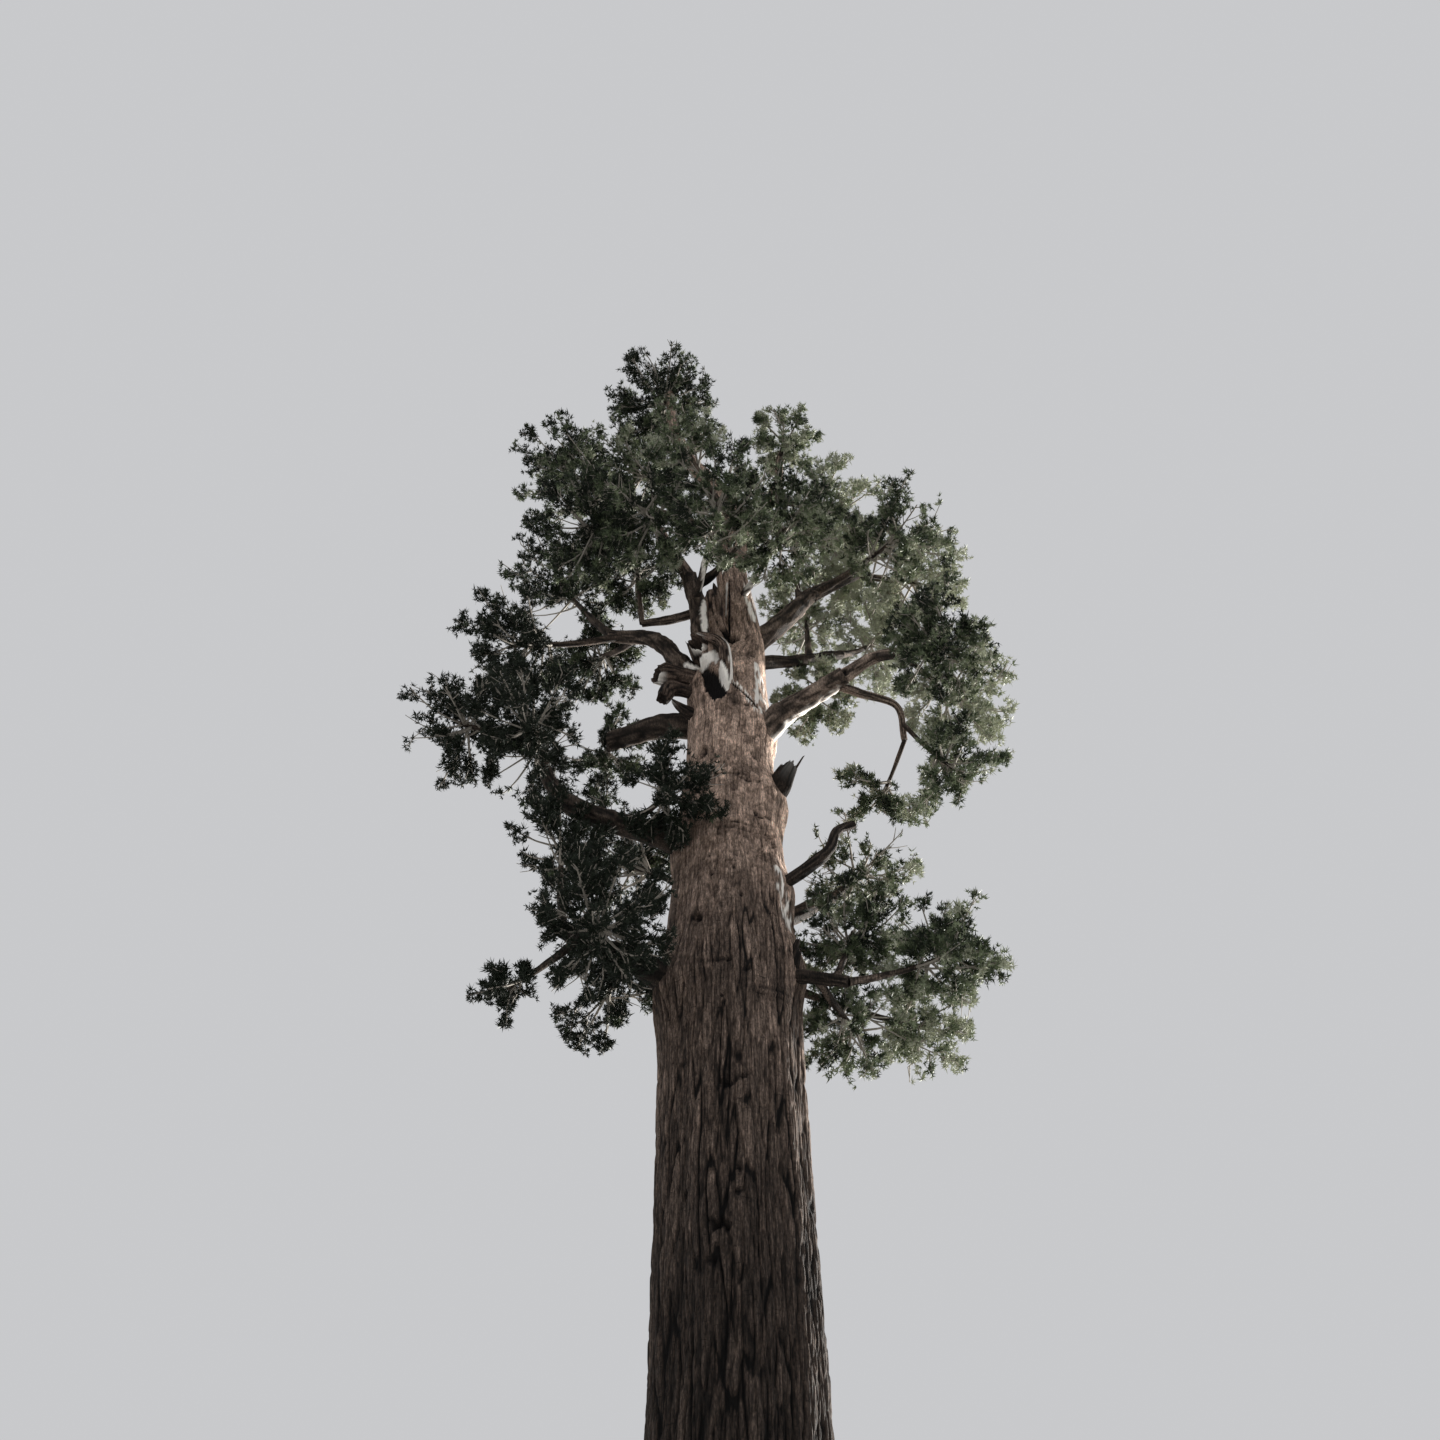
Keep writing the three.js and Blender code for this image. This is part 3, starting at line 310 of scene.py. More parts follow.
def noise(points, seed):
    """Smooth noise between about -1 and 1 at an array of points."""
    rng = np.random.default_rng(SEED + seed)
    table = np.concatenate([rng.permutation(256)] * 3)
    slopes = rng.normal(size=(256, 3))
    slopes /= np.linalg.norm(slopes, axis=1, keepdims=True)
    cell = np.floor(points).astype(int)
    inside = points - cell
    fade = inside**3 * (inside * (inside * 6 - 15) + 10)
    total = np.zeros(len(points))
    for corner in itertools.product((0, 1), repeat=3):
        x, y, z = ((cell + corner) & 255).T
        key = table[table[table[x] + y] + z]
        weight = np.where(corner, fade, 1 - fade).prod(axis=1)
        total += weight * (slopes[key] * (inside - corner)).sum(axis=1)
    return total * 1.6


def smooth_step(value, low, high):
    """0 below a low value, 1 above a high one, and smooth between them."""
    share = np.clip((value - low) / (high - low), 0, 1)
    return share**2 * (3 - 2 * share)


def unit(vectors):
    """Vectors drawn to length 1."""
    return vectors / np.maximum(np.linalg.norm(vectors, axis=-1, keepdims=True), 1e-9)


def smooth_course(course, steps):
    """Points along a smooth curve through a course, with that many steps a span."""
    knots = np.array(course, float)
    ends = np.vstack([2 * knots[0] - knots[1], knots, 2 * knots[-1] - knots[-2]])
    t = np.linspace(0, 1, steps, endpoint=False)[:, None]
    spans = []
    for a, b, c, d in zip(ends, ends[1:], ends[2:], ends[3:]):
        bend = 2 * a - 5 * b + 4 * c - d
        spans.append(0.5 * (2 * b + (c - a) * t + bend * t**2 + (3 * b - a - 3 * c + d) * t**3))
    return np.vstack([*spans, knots[-1:]])


def bow(start, bend, end, t):
    """Points at shares t along a bow from start to end by way of a bend."""
    return (1 - t) ** 2 * start + 2 * t * (1 - t) * bend + t**2 * end


def off_line(points, start, end):
    """The share of a straight line at which each point is nearest, and how far away it is."""
    line = end - start
    from_start = points - start
    share = np.clip(from_start @ line / (line @ line), 0, 1)
    return share, np.linalg.norm(from_start - share[:, None] * line, axis=1)


def limb_rings(course, radii, gap):
    """Ring middles and radii along a limb, about a gap apart."""
    course = np.array(course, float)
    spans = len(course) - 1
    length = np.linalg.norm(np.diff(course, axis=0), axis=1).sum()
    steps = max(round(length / gap / spans), 2)
    points = smooth_course(course, steps)
    t = np.linspace(0, 1, len(points))
    return points, radii[0] + (radii[1] - radii[0]) * t**LIMB_TAPER


def cross_axes(points):
    """Two directions across a course at each of its points, with no twist between them."""
    along = unit(np.gradient(points, axis=0))
    side = np.array([1.0, 0, 0])
    sides = []
    for direction in along:
        side = side - direction * side.dot(direction)
        if np.linalg.norm(side) < 0.1:
            side = np.array([0, 1.0, 0]) - direction * direction[1]
        side = side / np.linalg.norm(side)
        sides.append(side)
    sides = np.array(sides)
    return along, sides, np.cross(along, sides)


def tube_faces(rings, sides):
    """Four-sided faces of a tube, whose corners are numbered ring by ring."""
    ring, side = np.meshgrid(np.arange(rings - 1), np.arange(sides), indexing="ij")
    a = ring * sides + side
    b = ring * sides + (side + 1) % sides
    return np.stack([a, b, b + sides, a + sides], axis=-1).reshape(-1, 4)


def fan_faces(sides):
    """Three-sided faces from a rim to the corner that follows it."""
    rim = np.arange(sides)
    return np.column_stack([rim, (rim + 1) % sides, np.full(sides, sides)])


def add_object(name, data):
    """An object of the scene."""
    added = bpy.data.objects.new(name, data)
    bpy.context.scene.collection.objects.link(added)
    return added


class Shape:
    """Corners, faces, colours and material numbers that are gathered into one mesh."""

    def __init__(self):
        self.corners, self.faces, self.shades, self.slots = [], [], [], []
        self.count = 0

    def add(self, corners, faces, shades=None, slots=None):
        """Adds corners and faces, with four shades for each corner."""
        corners = np.asarray(corners, float).reshape(-1, 3)
        faces = np.asarray(faces) + self.count
        self.corners.append(corners)
        self.faces.append(faces)
        self.shades.append(np.zeros((len(corners), 4)) if shades is None else shades)
        self.slots.append(np.zeros(len(faces), int) if slots is None else slots)
        self.count += len(corners)

    def triangles(self):
        """How many triangles the faces make."""
        return sum(len(part) * (part.shape[1] - 2) for part in self.faces)

    def make(self, name, materials, smooth=True):
        """The mesh object, in model metres."""
        corners = np.concatenate(self.corners) * SCALE
        faces = itertools.chain.from_iterable(part.tolist() for part in self.faces)
        mesh = bpy.data.meshes.new(name)
        mesh.from_pydata(corners, [], list(faces), shade_flat=not smooth)
        mesh.polygons.foreach_set("material_index", np.concatenate(self.slots).astype(np.int32))
        shades = np.concatenate(self.shades)
        if shades.any():
            layer = mesh.color_attributes.new("relief", "FLOAT_COLOR", "POINT")
            layer.data.foreach_set("color", shades.astype(np.float32).ravel())
        mesh.validate()
        for material in materials:
            mesh.materials.append(material)
        return add_object(name, mesh)


# The trunk's meshes: stretches from a height to a height, the gap between rings, and the sides
TRUNK_SIDES = 440
TRUNK_PIECES = {
    "bark_lower_trunk": [[0, 24, 0.22, TRUNK_SIDES]],
    "bark_upper_trunk": [[24, 43, 0.125, TRUNK_SIDES]],
    "bark_top_trunk": [[43, 56, 0.085, TRUNK_SIDES], [55.2, 71.2, 0.12, 110]],
}

# Limbs' meshes: their sides, the gap between rings, and the number of the first of each kind,
# which the noise of their bark goes by
STUB_SIDES, STUB_GAP, FIRST_STUB = 44, 0.06, 1
BOUGH_SIDES, BOUGH_GAP, FIRST_BOUGH = 28, 0.1, 11
SHOOT_SIDES, FIRST_SHOOT = 14, 41
STEM_SIDES, STEM_GAP, FIRST_STEM = 10, 0.2, 51
STEM_TIP_RADIUS = 0.07
LINK_LENGTH = 0.5
LINKED_HEIGHTS = [24, 71]

# Depth of the furrows, and lightness of the bark, by height: partly its own tone, partly painted shade low
# down and painted sunlight high up
FURROW_DEPTH = [
    [0, 0.17], [22, 0.15], [30, 0.12], [38, 0.085], [44, 0.05], [52, 0.045], [57, 0.04], [71, 0.02],
]
BARK_TONE_AND_PAINTED_LIGHT = [
    [0, 0.34], [15, 0.26], [24, 0.19], [29, 0.22], [32, 0.36], [35, 0.44], [38, 0.52], [40, 0.7],
    [43, 1.02], [45, 1.7], [54, 2.1], [71, 1.3],
]

# The bark is bleached on the side that the sun reaches, and lightened there as painted sunlight:
# its bearing, how much lighter, how narrow that side is, and the heights between which it sets in and ends
SUNLIT_BLEACHED_SIDE = -5
SUNLIT_BLEACHING = 1.3
SUNLIT_BLEACHED_NARROWNESS = 4
SUNLIT_BLEACHED_RISE = [36, 44]
SUNLIT_BLEACHED_FALL = [52, 53.5]

# Painted shade makes the bark darker behind that side, so that the sun doesn't wash it out: the bearing, how
# much, how narrow, and where it sets in
PAINTED_SHADE_SIDE = 75
PAINTED_SHADE_DARKENING = 0.6
PAINTED_SHADE_NARROWNESS = 1.5
PAINTED_SHADE_RISE = [36, 46]

# Heights between which folds end and small flakes take the place of plates, and the relief that
# lies at the trunk's own radius
FOLDS_FADE = [27, 40]
FLAKES_RISE = [39, 44]
RELIEF_MIDDLE = 0.8

# Knots: their swollen rim and its width, and their pit, as shares of depth and size
KNOT_RIM, KNOT_RIM_WIDTH, KNOT_PIT = 0.16, 2.2, 1.1
KNOT_RAGGED = 0.55

# Seams: depth and width of the line, height and width of its lip, and how far above that stands
SEAM_DEPTH, SEAM_WIDTH = 0.06, 0.06
LIP_HEIGHT, LIP_WIDTH, LIP_RISE = 0.05, 0.14, 0.2

# Plates of the bark, from wide folds to small flakes: how many stand round the trunk, how tall
FOLDS = [14, 9]
PLATES = [54, 2.6]
SPLITS = [110, 1.1]
FLAKES = [46, 0.4]
PLATE_ROWS = 64
PLATE_JITTER = 0.75
PLATE_STAGGER = 0.22

# Limbs: ribs and fibres round one, its lightness, the rings that splinter at a broken end, and
# how squarely bark faces the pale side where that sets in and where it is full. The pale side and the pale
# lower edge of a broken end are partly painted sunlight on pale wood
LIMB_RIBS, LIMB_FIBRES = 16, 32
LIMB_LIGHTNESS = 0.25
SPLINTERED_RINGS = 7
PALE_LIT_RISE = [0.62, 1.15]


# Trunk
def trunk_at(heights):
    """Middle and radius of the trunk at heights."""
    table = np.array(TRUNK_COURSE, float)
    fine = smooth_course(table, 12)
    radius, right, behind = (np.interp(heights, fine[:, 0], fine[:, k]) for k in (1, 2, 3))
    return np.column_stack([right, behind, heights]), radius


def trunk_stretch(bearing, height, radius):
    """Buttresses at the foot, flutes all the way up, and the swellings."""
    fade = np.exp(-height / BUTTRESS_FADE_HEIGHT)
    even = np.cos(BUTTRESSES * bearing + BUTTRESS_TURN)
    uneven = UNEVEN_SHARE * np.cos(BUTTRESSES / 2 * bearing + UNEVEN_TURN)
    flute = np.cos(TRUNK_FLUTES * bearing + height / FLUTE_WIND_HEIGHT)
    rib_fade = 1 - smooth_step(height, *RIB_FADE)
    rib = RIB_DEPTH * rib_fade * np.cos(TRUNK_RIBS * bearing + height / RIB_WIND_HEIGHT)
    stretch = 1 + BUTTRESS_SWELL * fade * (even + uneven) + FLUTE_DEPTH * flute + rib
    for level, degrees, bulge, spread in TRUNK_SWELLINGS:
        narrow = facing(bearing, degrees) ** SWELLING_NARROWNESS
        stretch += bulge / radius * narrow * valley(height - level, spread)
    return stretch


def drum_noise(bearing, height, cells, stretch, seed):
    """Noise with that many cells round a trunk or limb, stretched upwards."""
    around = cells / (2 * math.pi)
    points = [around * np.cos(bearing), around * np.sin(bearing), height / stretch]
    return noise(np.column_stack(points), seed)


def facing(bearing, degrees):
    """1 where a bearing is the given one in degrees, falling to 0 a quarter turn away."""
    return np.maximum(np.cos(bearing - math.radians(degrees)), 0)


def turned_from(bearing, degrees):
    """The turn to a bearing from one in degrees, from minus to plus half a turn."""
    return (bearing - math.radians(degrees) + math.pi) % (2 * math.pi) - math.pi


def tube_grid(rows, sides):
    """For each corner of a tube, its ring's row and its bearing."""
    bearings = np.linspace(0, 2 * math.pi, sides, endpoint=False)
    return (grid.ravel() for grid in np.meshgrid(rows, bearings, indexing="ij"))


def valley(value, width):
    """1 where a value crosses nought, falling to 0 over a width."""
    return np.exp(-((value / width) ** 2))


def plates(bearing, height, columns, tall, seed):
    """Staggered plates of bark, pointed at both ends: how far each point stands from the
    nearest crack as a share of a plate's width, the plate's own level and the one beside it."""
    rng = np.random.default_rng(SEED + seed)
    stagger = 0.5 * (np.arange(columns) % 2) + rng.uniform(-PLATE_STAGGER, PLATE_STAGGER, columns)
    table = rng.random((columns, PLATE_ROWS, 3))
    across = bearing / (2 * math.pi) * columns
    column = np.floor(across).astype(int)
    distances, levels = [], []
    for step, rise in itertools.product((-1, 0, 1), repeat=2):
        own = (column + step) % columns
        row = np.floor(height / tall + stagger[own]).astype(int) + rise
        draws = table[own, row % PLATE_ROWS]
        aside = across - (column + step + 0.5 + PLATE_JITTER * (draws[:, 0] - 0.5))
        up = height / tall + stagger[own] - (row + 0.5 + PLATE_JITTER * (draws[:, 1] - 0.5))
        distances.append(np.hypot(aside, up))
        levels.append(draws[:, 2])
    nearby = np.argsort(distances, axis=0, kind="stable")[:2]
    nearest, second = np.take_along_axis(np.array(distances), nearby, 0)
    level, beside = np.take_along_axis(np.array(levels), nearby, 0)
    return (second - nearest) / 2, level, beside


def bark_pattern(bearing, height):
    """Relief from 0 in the furrows to about 1 on the plates, and the plates' own tones."""
    turned = bearing + 0.05 * drum_noise(bearing, height, 7, 7.0, 1)
    turned += 0.022 * drum_noise(bearing, height, 26, 1.9, 2)
    flaky = smooth_step(height + drum_noise(bearing, height, 8, 1.5, 3), *FLAKES_RISE)
    folds, _, _ = plates(turned, height, *FOLDS, 4)
    edge, level, beside = plates(turned, height, *PLATES, 5)
    split, shred, _ = plates(turned, height, *SPLITS, 6)
    flake_edge, flake, _ = plates(turned, height, *FLAKES, 7)
    fibres = drum_noise(turned, height, 190, 0.8, 8)
    strong = np.clip(1.8 * np.abs(level - beside), 0.2, 1)
    low = 1 - 0.4 * valley(folds, 0.05) * (1 - smooth_step(height, *FOLDS_FADE))
    low += -0.9 * strong * valley(edge, 0.085) - 0.3 * valley(split, 0.1) + 0.3 * (level - 0.5)
    low += 0.16 * (shred - 0.5) + 0.14 * fibres
    high = 0.85 - 0.25 * strong * valley(edge, 0.07) - 0.2 * valley(flake_edge, 0.1)
    high += 0.36 * (flake - 0.5) + 0.14 * fibres
    relief = low + (high - low) * flaky
    blotches = drum_noise(turned, height, 17, 0.8, 13)
    blotches += 0.7 * drum_noise(turned, height, 46, 0.3, 14)
    tone = 0.5 + 0.3 * (level - 0.5) + 0.3 * (shred - 0.5) * (1 - flaky)
    tone += (0.22 * (flake - 0.5) - 0.15 * (level - 0.5) + 0.16 * blotches) * flaky
    return np.clip(relief, 0, 1.25), tone + 0.12 * drum_noise(bearing, height, 9, 2.5, 10)


def trunk_surface(heights, sides):
    """Corners of the trunk's bark, ring by ring, and what colours them."""
    height, bearing = tube_grid(heights, sides)
    middle, radius = trunk_at(height)
    relief, tone = bark_pattern(bearing, height)
    depth = np.interp(height, *np.array(FURROW_DEPTH).T)
    reach = radius * trunk_stretch(bearing, height, radius) + depth * (relief - RELIEF_MIDDLE)
    # Painted shade and sunlight by height, with the bark's own tone: darkest about 24 m up, lightest about 54
    # m up
    lightness = np.interp(height, *np.array(BARK_TONE_AND_PAINTED_LIGHT).T)
    # Painted sunlight with bleaching: lighter bark in patches on the side the sun reaches
    sunlit_bleached = facing(bearing, SUNLIT_BLEACHED_SIDE) ** SUNLIT_BLEACHED_NARROWNESS
    patchy = np.clip(0.5 + 1.6 * drum_noise(bearing, height, 26, 0.6, 12), 0, 1.6)
    patchy *= smooth_step(height, *SUNLIT_BLEACHED_RISE) * (1 - 0.75 * smooth_step(height, *SUNLIT_BLEACHED_FALL))
    lightness *= 1 + SUNLIT_BLEACHING * sunlit_bleached * patchy
    # Painted shade: darker bark on the sunlit side behind
    behind = facing(bearing, PAINTED_SHADE_SIDE) ** PAINTED_SHADE_NARROWNESS
    lightness *= 1 - PAINTED_SHADE_DARKENING * behind * smooth_step(height, *PAINTED_SHADE_RISE)
    # Knot pits are coloured dark as painted shade, and seam lines half as dark
    dark = np.zeros(len(height))
    ragged = drum_noise(bearing, height, 75, 0.2, 11)
    for level, degrees, width, tall, deep, slant in KNOTS:
        aside = turned_from(bearing, degrees) * radius
        across, up = aside / width, (height - level - slant * aside) / tall
        distance = np.hypot(across, up) * (1 + KNOT_RAGGED * ragged)
        pit = np.exp(-(distance**4))
        reach += KNOT_RIM * deep * valley(distance, KNOT_RIM_WIDTH) - KNOT_PIT * deep * pit
        dark = np.maximum(dark, pit)
    wavy = 0.1 * drum_noise(bearing, height * 0, 40, 1, 9)
    for level, degrees, width, bend in SEAMS:
        share = turned_from(bearing, degrees) * radius / width
        sag = level + bend * share**2 + wavy
        broken = np.clip(0.75 + 0.8 * ragged, 0, 1) * np.exp(-(share**4))
        line = broken * valley(height - sag, SEAM_WIDTH)
        lip = broken * valley(height - sag - LIP_RISE, LIP_WIDTH)
        reach += LIP_HEIGHT * lip - SEAM_DEPTH * line
        relief = relief * (1 - 0.6 * line)
        dark = np.maximum(dark, 0.5 * line)
    corners = middle + np.column_stack([reach * np.cos(bearing), reach * np.sin(bearing), 0 * reach])
    shades = [np.clip(relief, 0, 1), np.clip(lightness * tone / 2, 0, 1), dark, 0 * dark]
    return corners, np.column_stack(shades)


def add_trunk(shape, low, high, gap, sides):
    """One stretch of the trunk."""
    heights = np.linspace(low, high, round((high - low) / gap) + 1)
    corners, shades = trunk_surface(heights, sides)
    shape.add(corners, tube_faces(len(heights), sides), shades)


def add_foot(shape):
    """The flat cut at the ground."""
    corners, shades = trunk_surface([0], TRUNK_SIDES)
    middle, _ = trunk_at(np.zeros(1))
    fan = fan_faces(TRUNK_SIDES)[:, ::-1]
    shape.add(np.vstack([corners, middle]), fan, np.vstack([shades, shades[:1]]))


# Limbs
def add_limb(shape, course, radii, seed, sides, gap=BOUGH_GAP, broken=0.0, tone=1.0, pale_lit_side=()):
    """A limb with furrowed bark, and splintered wood at its end where it is broken."""
    points, ring_radii = limb_rings(course, radii, gap)
    along, side, other = cross_axes(points)
    rings = len(points)
    ring, bearing = tube_grid(np.arange(rings), sides)
    distance = ring * gap
    radius = ring_radii[ring]
    outward = side[ring] * np.cos(bearing)[:, None] + other[ring] * np.sin(bearing)[:, None]
    ribs = valley(drum_noise(bearing, distance + 7 * seed, LIMB_RIBS, 1.1, 20 + seed), 0.3)
    bumps = drum_noise(bearing, distance, 3, 0.9, 60 + seed)
    lumps = drum_noise(bearing, distance, 8, 0.35, 80 + seed)
    fibres = drum_noise(bearing, distance, LIMB_FIBRES, 0.5, 100 + seed)
    relief = np.clip(0.85 - 0.6 * ribs + 0.25 * fibres + 0.15 * lumps, 0, 1)
    bumpy = 0.2 if broken else 0.15
    reach = radius * (1 + bumpy * bumps + 0.05 * lumps - 0.18 * (1 - relief)) + 0.04 * radius
    splinters = np.zeros(len(ring))
    pale = np.zeros(len(ring))
    if broken:
        near = np.clip((ring - rings + SPLINTERED_RINGS + 1) / SPLINTERED_RINGS, 0, 1) ** 1.5
        lobes = drum_noise(bearing, 0 * bearing + 3.7 * seed, 6, 1, 180 + seed)
        teeth = drum_noise(bearing, distance / 3, 22, 1, 190 + seed)
        slant = np.cos(bearing - 2.1 * seed)
        splinters = broken * near * (0.2 + 1.1 * lobes + 0.7 * teeth + 0.7 * slant)
        reach = reach * (1 - near * (0.22 + 0.3 * lobes))
        # Pale wood on the lower edge of a broken end, partly painted sunlight
        pale = near * smooth_step(-outward[:, 2] + 0.5 * teeth, 0.25, 0.7) * min(1.6 * tone, 1)
    # The pale side, partly painted sunlight
    if pale_lit_side:
        towards = outward @ np.array(pale_lit_side) + 0.4 * lumps + 0.4 * fibres
        pale = np.maximum(pale, smooth_step(towards, *PALE_LIT_RISE))
    corners = points[ring] + outward * reach[:, None] + along[ring] * splinters[:, None]
    patches = drum_noise(bearing, distance, 5, 0.7, 140 + seed)
    shade = np.clip(tone * (LIMB_LIGHTNESS + 0.1 * patches), 0, 1)
    shape.add(corners, tube_faces(rings, sides), np.column_stack([relief, shade, 0 * relief, pale]))
    end = corners[-sides:]
    middle = points[-1] - along[-1] * (broken * 1.2)
    inner = middle + 0.6 * (end - end.mean(axis=0)) + along[-1] * broken * 0.3
    # The broken end's sunken heart is coloured dark, as painted shade
    heart = np.tile([0.5, LIMB_LIGHTNESS * min(tone, 1), 0.6 if broken else 0, 0], (2 * sides, 1))
    heart[:sides, 2] = 0
    shape.add(np.vstack([end, inner]), tube_faces(2, sides), heart)
    shape.add(np.vstack([inner, middle]), fan_faces(sides), heart[-sides - 1 :])


def cut_scars(shape):
    """Cuts the scars into the corners that face the view, and colours them: painted shade in the hollows,
    pale wood and flakes partly as painted sunlight.
    """
    for part, shades in zip(shape.corners, shape.shades):
        high = (part[:, 2] > SCAR_HEIGHTS[0]) & (part[:, 2] < SCAR_HEIGHTS[1])
        near = np.flatnonzero(high & (part[:, 1] < SCAR_FACE))
        points = part[near]
        ragged = noise(points * [5, 2, 2.5], 210) + 0.5 * noise(points * [16, 5, 8], 211)
        upright = noise(points * [9, 4, 1.6], 212) + 0.5 * noise(points * [22, 8, 4], 213)
        for kind, deep, course in SCARS:
            course = np.array(course)
            share = np.full(len(points), 9.0)
            for start, end in zip(course, course[1:]):
                t, away = off_line(points[:, [0, 2]], start[:2], end[:2])
                width = start[2] + (end[2] - start[2]) * t
                share = np.minimum(share, away / width)
            share *= 1 + SCAR_RAGGED * ragged
            part[near, 1] += deep * np.sqrt(np.clip(1 - share**2, 0, 1))
            cover = smooth_step(-share, -1, -SCAR_SOLID)
            if kind == "flakes":
                cover *= smooth_step(upright, -0.25, 0.1)
            channel, hidden = (2, 3) if kind == "hollow" else (3, 2)
            shades[near, channel] = np.maximum(shades[near, channel], cover)
            shades[near, hidden] *= 1 - cover


# Spaces of the foliage masses
def space_walls(mass, masses):
    """Flat walls of a mass's space between it and its neighbours, in its stretched frame."""
    walls = []
    for other in masses:
        if other is mass:
            continue
        between = (other.middle - mass.middle) / SPACE_SHAPE
        length = np.linalg.norm(between)
        offset = (length**2 - other.radius**2 + mass.radius**2) / (2 * length) - SPACE_MARGIN
        if offset < mass.radius:
            walls.append([*(between / length), offset])
    return np.array(walls).reshape(-1, 4)


def reach_in_space(mass, directions):
    """How far the space reaches from its middle along stretched unit directions."""
    reach = np.full(len(directions), float(mass.radius))
    for *normal, offset in mass.walls:
        towards = directions @ np.array(normal)
        limit = np.where(towards > 1e-6, offset / np.maximum(towards, 1e-6), np.inf)
        reach = np.minimum(reach, np.maximum(limit, 0))
    return reach


def in_space(mass, points):
    """Which points lie in the mass's space and in the box of the solids."""
    local = (points - mass.middle) / SPACE_SHAPE
    inside = (local**2).sum(axis=-1) <= mass.radius**2
    low, high = np.array(cad_box) / SCALE
    inside &= (points > low).all(axis=-1) & (points < high).all(axis=-1)
    for *normal, offset in mass.walls:
        inside &= local @ np.array(normal) <= offset
    return inside


def clear_of_openings(points):
    """Which points stand outside the sight lines through the openings."""
    clear = np.ones(len(points), bool)
    from_eye = points - EYE
    fine, coarse = OPENING_GRAINS
    ragged = noise(points / fine, 304) + noise(points / coarse, 305)
    for right, up, width in OPENINGS:
        line = np.array([right, 0, up]) - EYE
        share = from_eye @ line / (line @ line)
        away = np.linalg.norm(from_eye - share[:, None] * line, axis=1)
        clear &= away * (1 + OPENING_RAGGED * ragged) > width * share
    return clear


def clear_of_limbs(points, links):
    """Which points stand clear of every limb near them."""
    clear = np.ones(len(points), bool)
    low, high = points.min(axis=0) - 1.5, points.max(axis=0) + 1.5
    for start, end, radius in links:
        if (np.minimum(start, end) > high).any() or (np.maximum(start, end) < low).any():
            continue
        clear &= off_line(points, start, end)[1] > radius + LIMB_CLEARANCE
    return clear


def spread_directions(count):
    """Evenly spread directions, each turned from the last by the golden angle."""
    index = np.arange(count)
    height = 1 - 2 * (index + 0.5) / count
    ring = np.sqrt(1 - height**2)
    bearing = index * GOLDEN_ANGLE
    return np.column_stack([ring * np.cos(bearing), ring * np.sin(bearing), height])


def random_across(directions, rng):
    """Random directions square to the given ones."""
    anything = rng.normal(size=directions.shape)
    across = anything - directions * (anything * directions).sum(axis=-1, keepdims=True)
    return unit(across)


def carrier_root(mass):
    """Where a mass's stem leaves its limb."""
    if mass.carrier == "trunk":
        middle, radius = trunk_at(np.array([float(mass.place)]))
        return middle[0], radius[0]
    _, radii, course, *_ = BOUGHS[mass.carrier]
    points, radii = limb_rings(course, radii, BOUGH_GAP)
    at = mass.place * (len(points) - 1)
    low = min(int(at), len(points) - 2)
    return points[low] + (points[low + 1] - points[low]) * (at - low), radii[low]


def stem_course(mass):
    """The stem's course, sagging a little on its way to the middle of the mass."""
    root, radius = carrier_root(mass)
    reach = np.linalg.norm(mass.middle - root)
    bend = (root + mass.middle) / 2 - [0, 0, STEM_SAG * reach]
    points = bow(root, bend, mass.middle, np.linspace(0, 1, 9)[:, None])
    return points, min(0.15 + 0.008 * reach, 0.8 * radius)


def add_twigs(shape, starts, bends, ends, thick, thin, sides, steps):
    """Many curved twigs at once, from starts by way of bends to ends."""
    t = np.linspace(0, 1, steps + 1)[None, :, None]
    starts, bends, ends = (part[:, None, :] for part in (starts, bends, ends))
    points = bow(starts, bends, ends, t)
    along = unit((ends - starts)[:, 0])
    helper = np.where(np.abs(along[:, 2:]) < 0.8, [[0.0, 0, 1]], [[1.0, 0, 0]])
    side = unit(np.cross(along, helper))
    other = np.cross(along, side)
    radii = thick + (thin - thick) * t[0, :, 0] ** 0.8
    turns = (2 * math.pi * np.arange(sides) / sides)[None, :, None]
    rim = np.cos(turns) * side[:, None] + np.sin(turns) * other[:, None]
    corners = points[:, :, None, :] + radii[None, :, None, None] * rim[:, None, :, :]
    offsets = np.arange(len(starts))[:, None, None] * (steps + 1) * sides
    shape.add(corners, (tube_faces(steps + 1, sides)[None] + offsets).reshape(-1, 4))


def add_tufts(shape, places, headings, sizes, greens, rng):
    """Sprays: each is a star of slender awl-shaped prongs round its heading."""
    count = len(places)
    across = random_across(headings, rng)
    third = np.cross(headings, across)
    turn = 2 * math.pi * (np.arange(PRONGS)[None] / PRONGS + rng.random((count, 1)))
    turn = (turn + rng.normal(0, 0.3, (count, PRONGS)))[..., None]
    lean = rng.uniform(0.2, 1.5, (count, PRONGS))[..., None]
    around = across[:, None] * np.cos(turn) + third[:, None] * np.sin(turn)
    direction = headings[:, None] * np.cos(lean) + around * np.sin(lean)
    length = (sizes[:, None] * rng.uniform(0.6, 1.0, (count, PRONGS)))[..., None]
    width = rng.uniform(*PRONG_WIDTH, (count, PRONGS))[..., None] / 2 * random_across(direction, rng)
    root = places[:, None] + 0.12 * length * direction
    tip = root + length * direction
    tip[..., 2] += 0.12 * length[..., 0]
    corners = np.stack([root + width, tip, root - width], axis=2)
    faces = np.arange(count * PRONGS * 3).reshape(-1, 3)
    shape.add(corners, faces, None, np.repeat(greens, PRONGS))


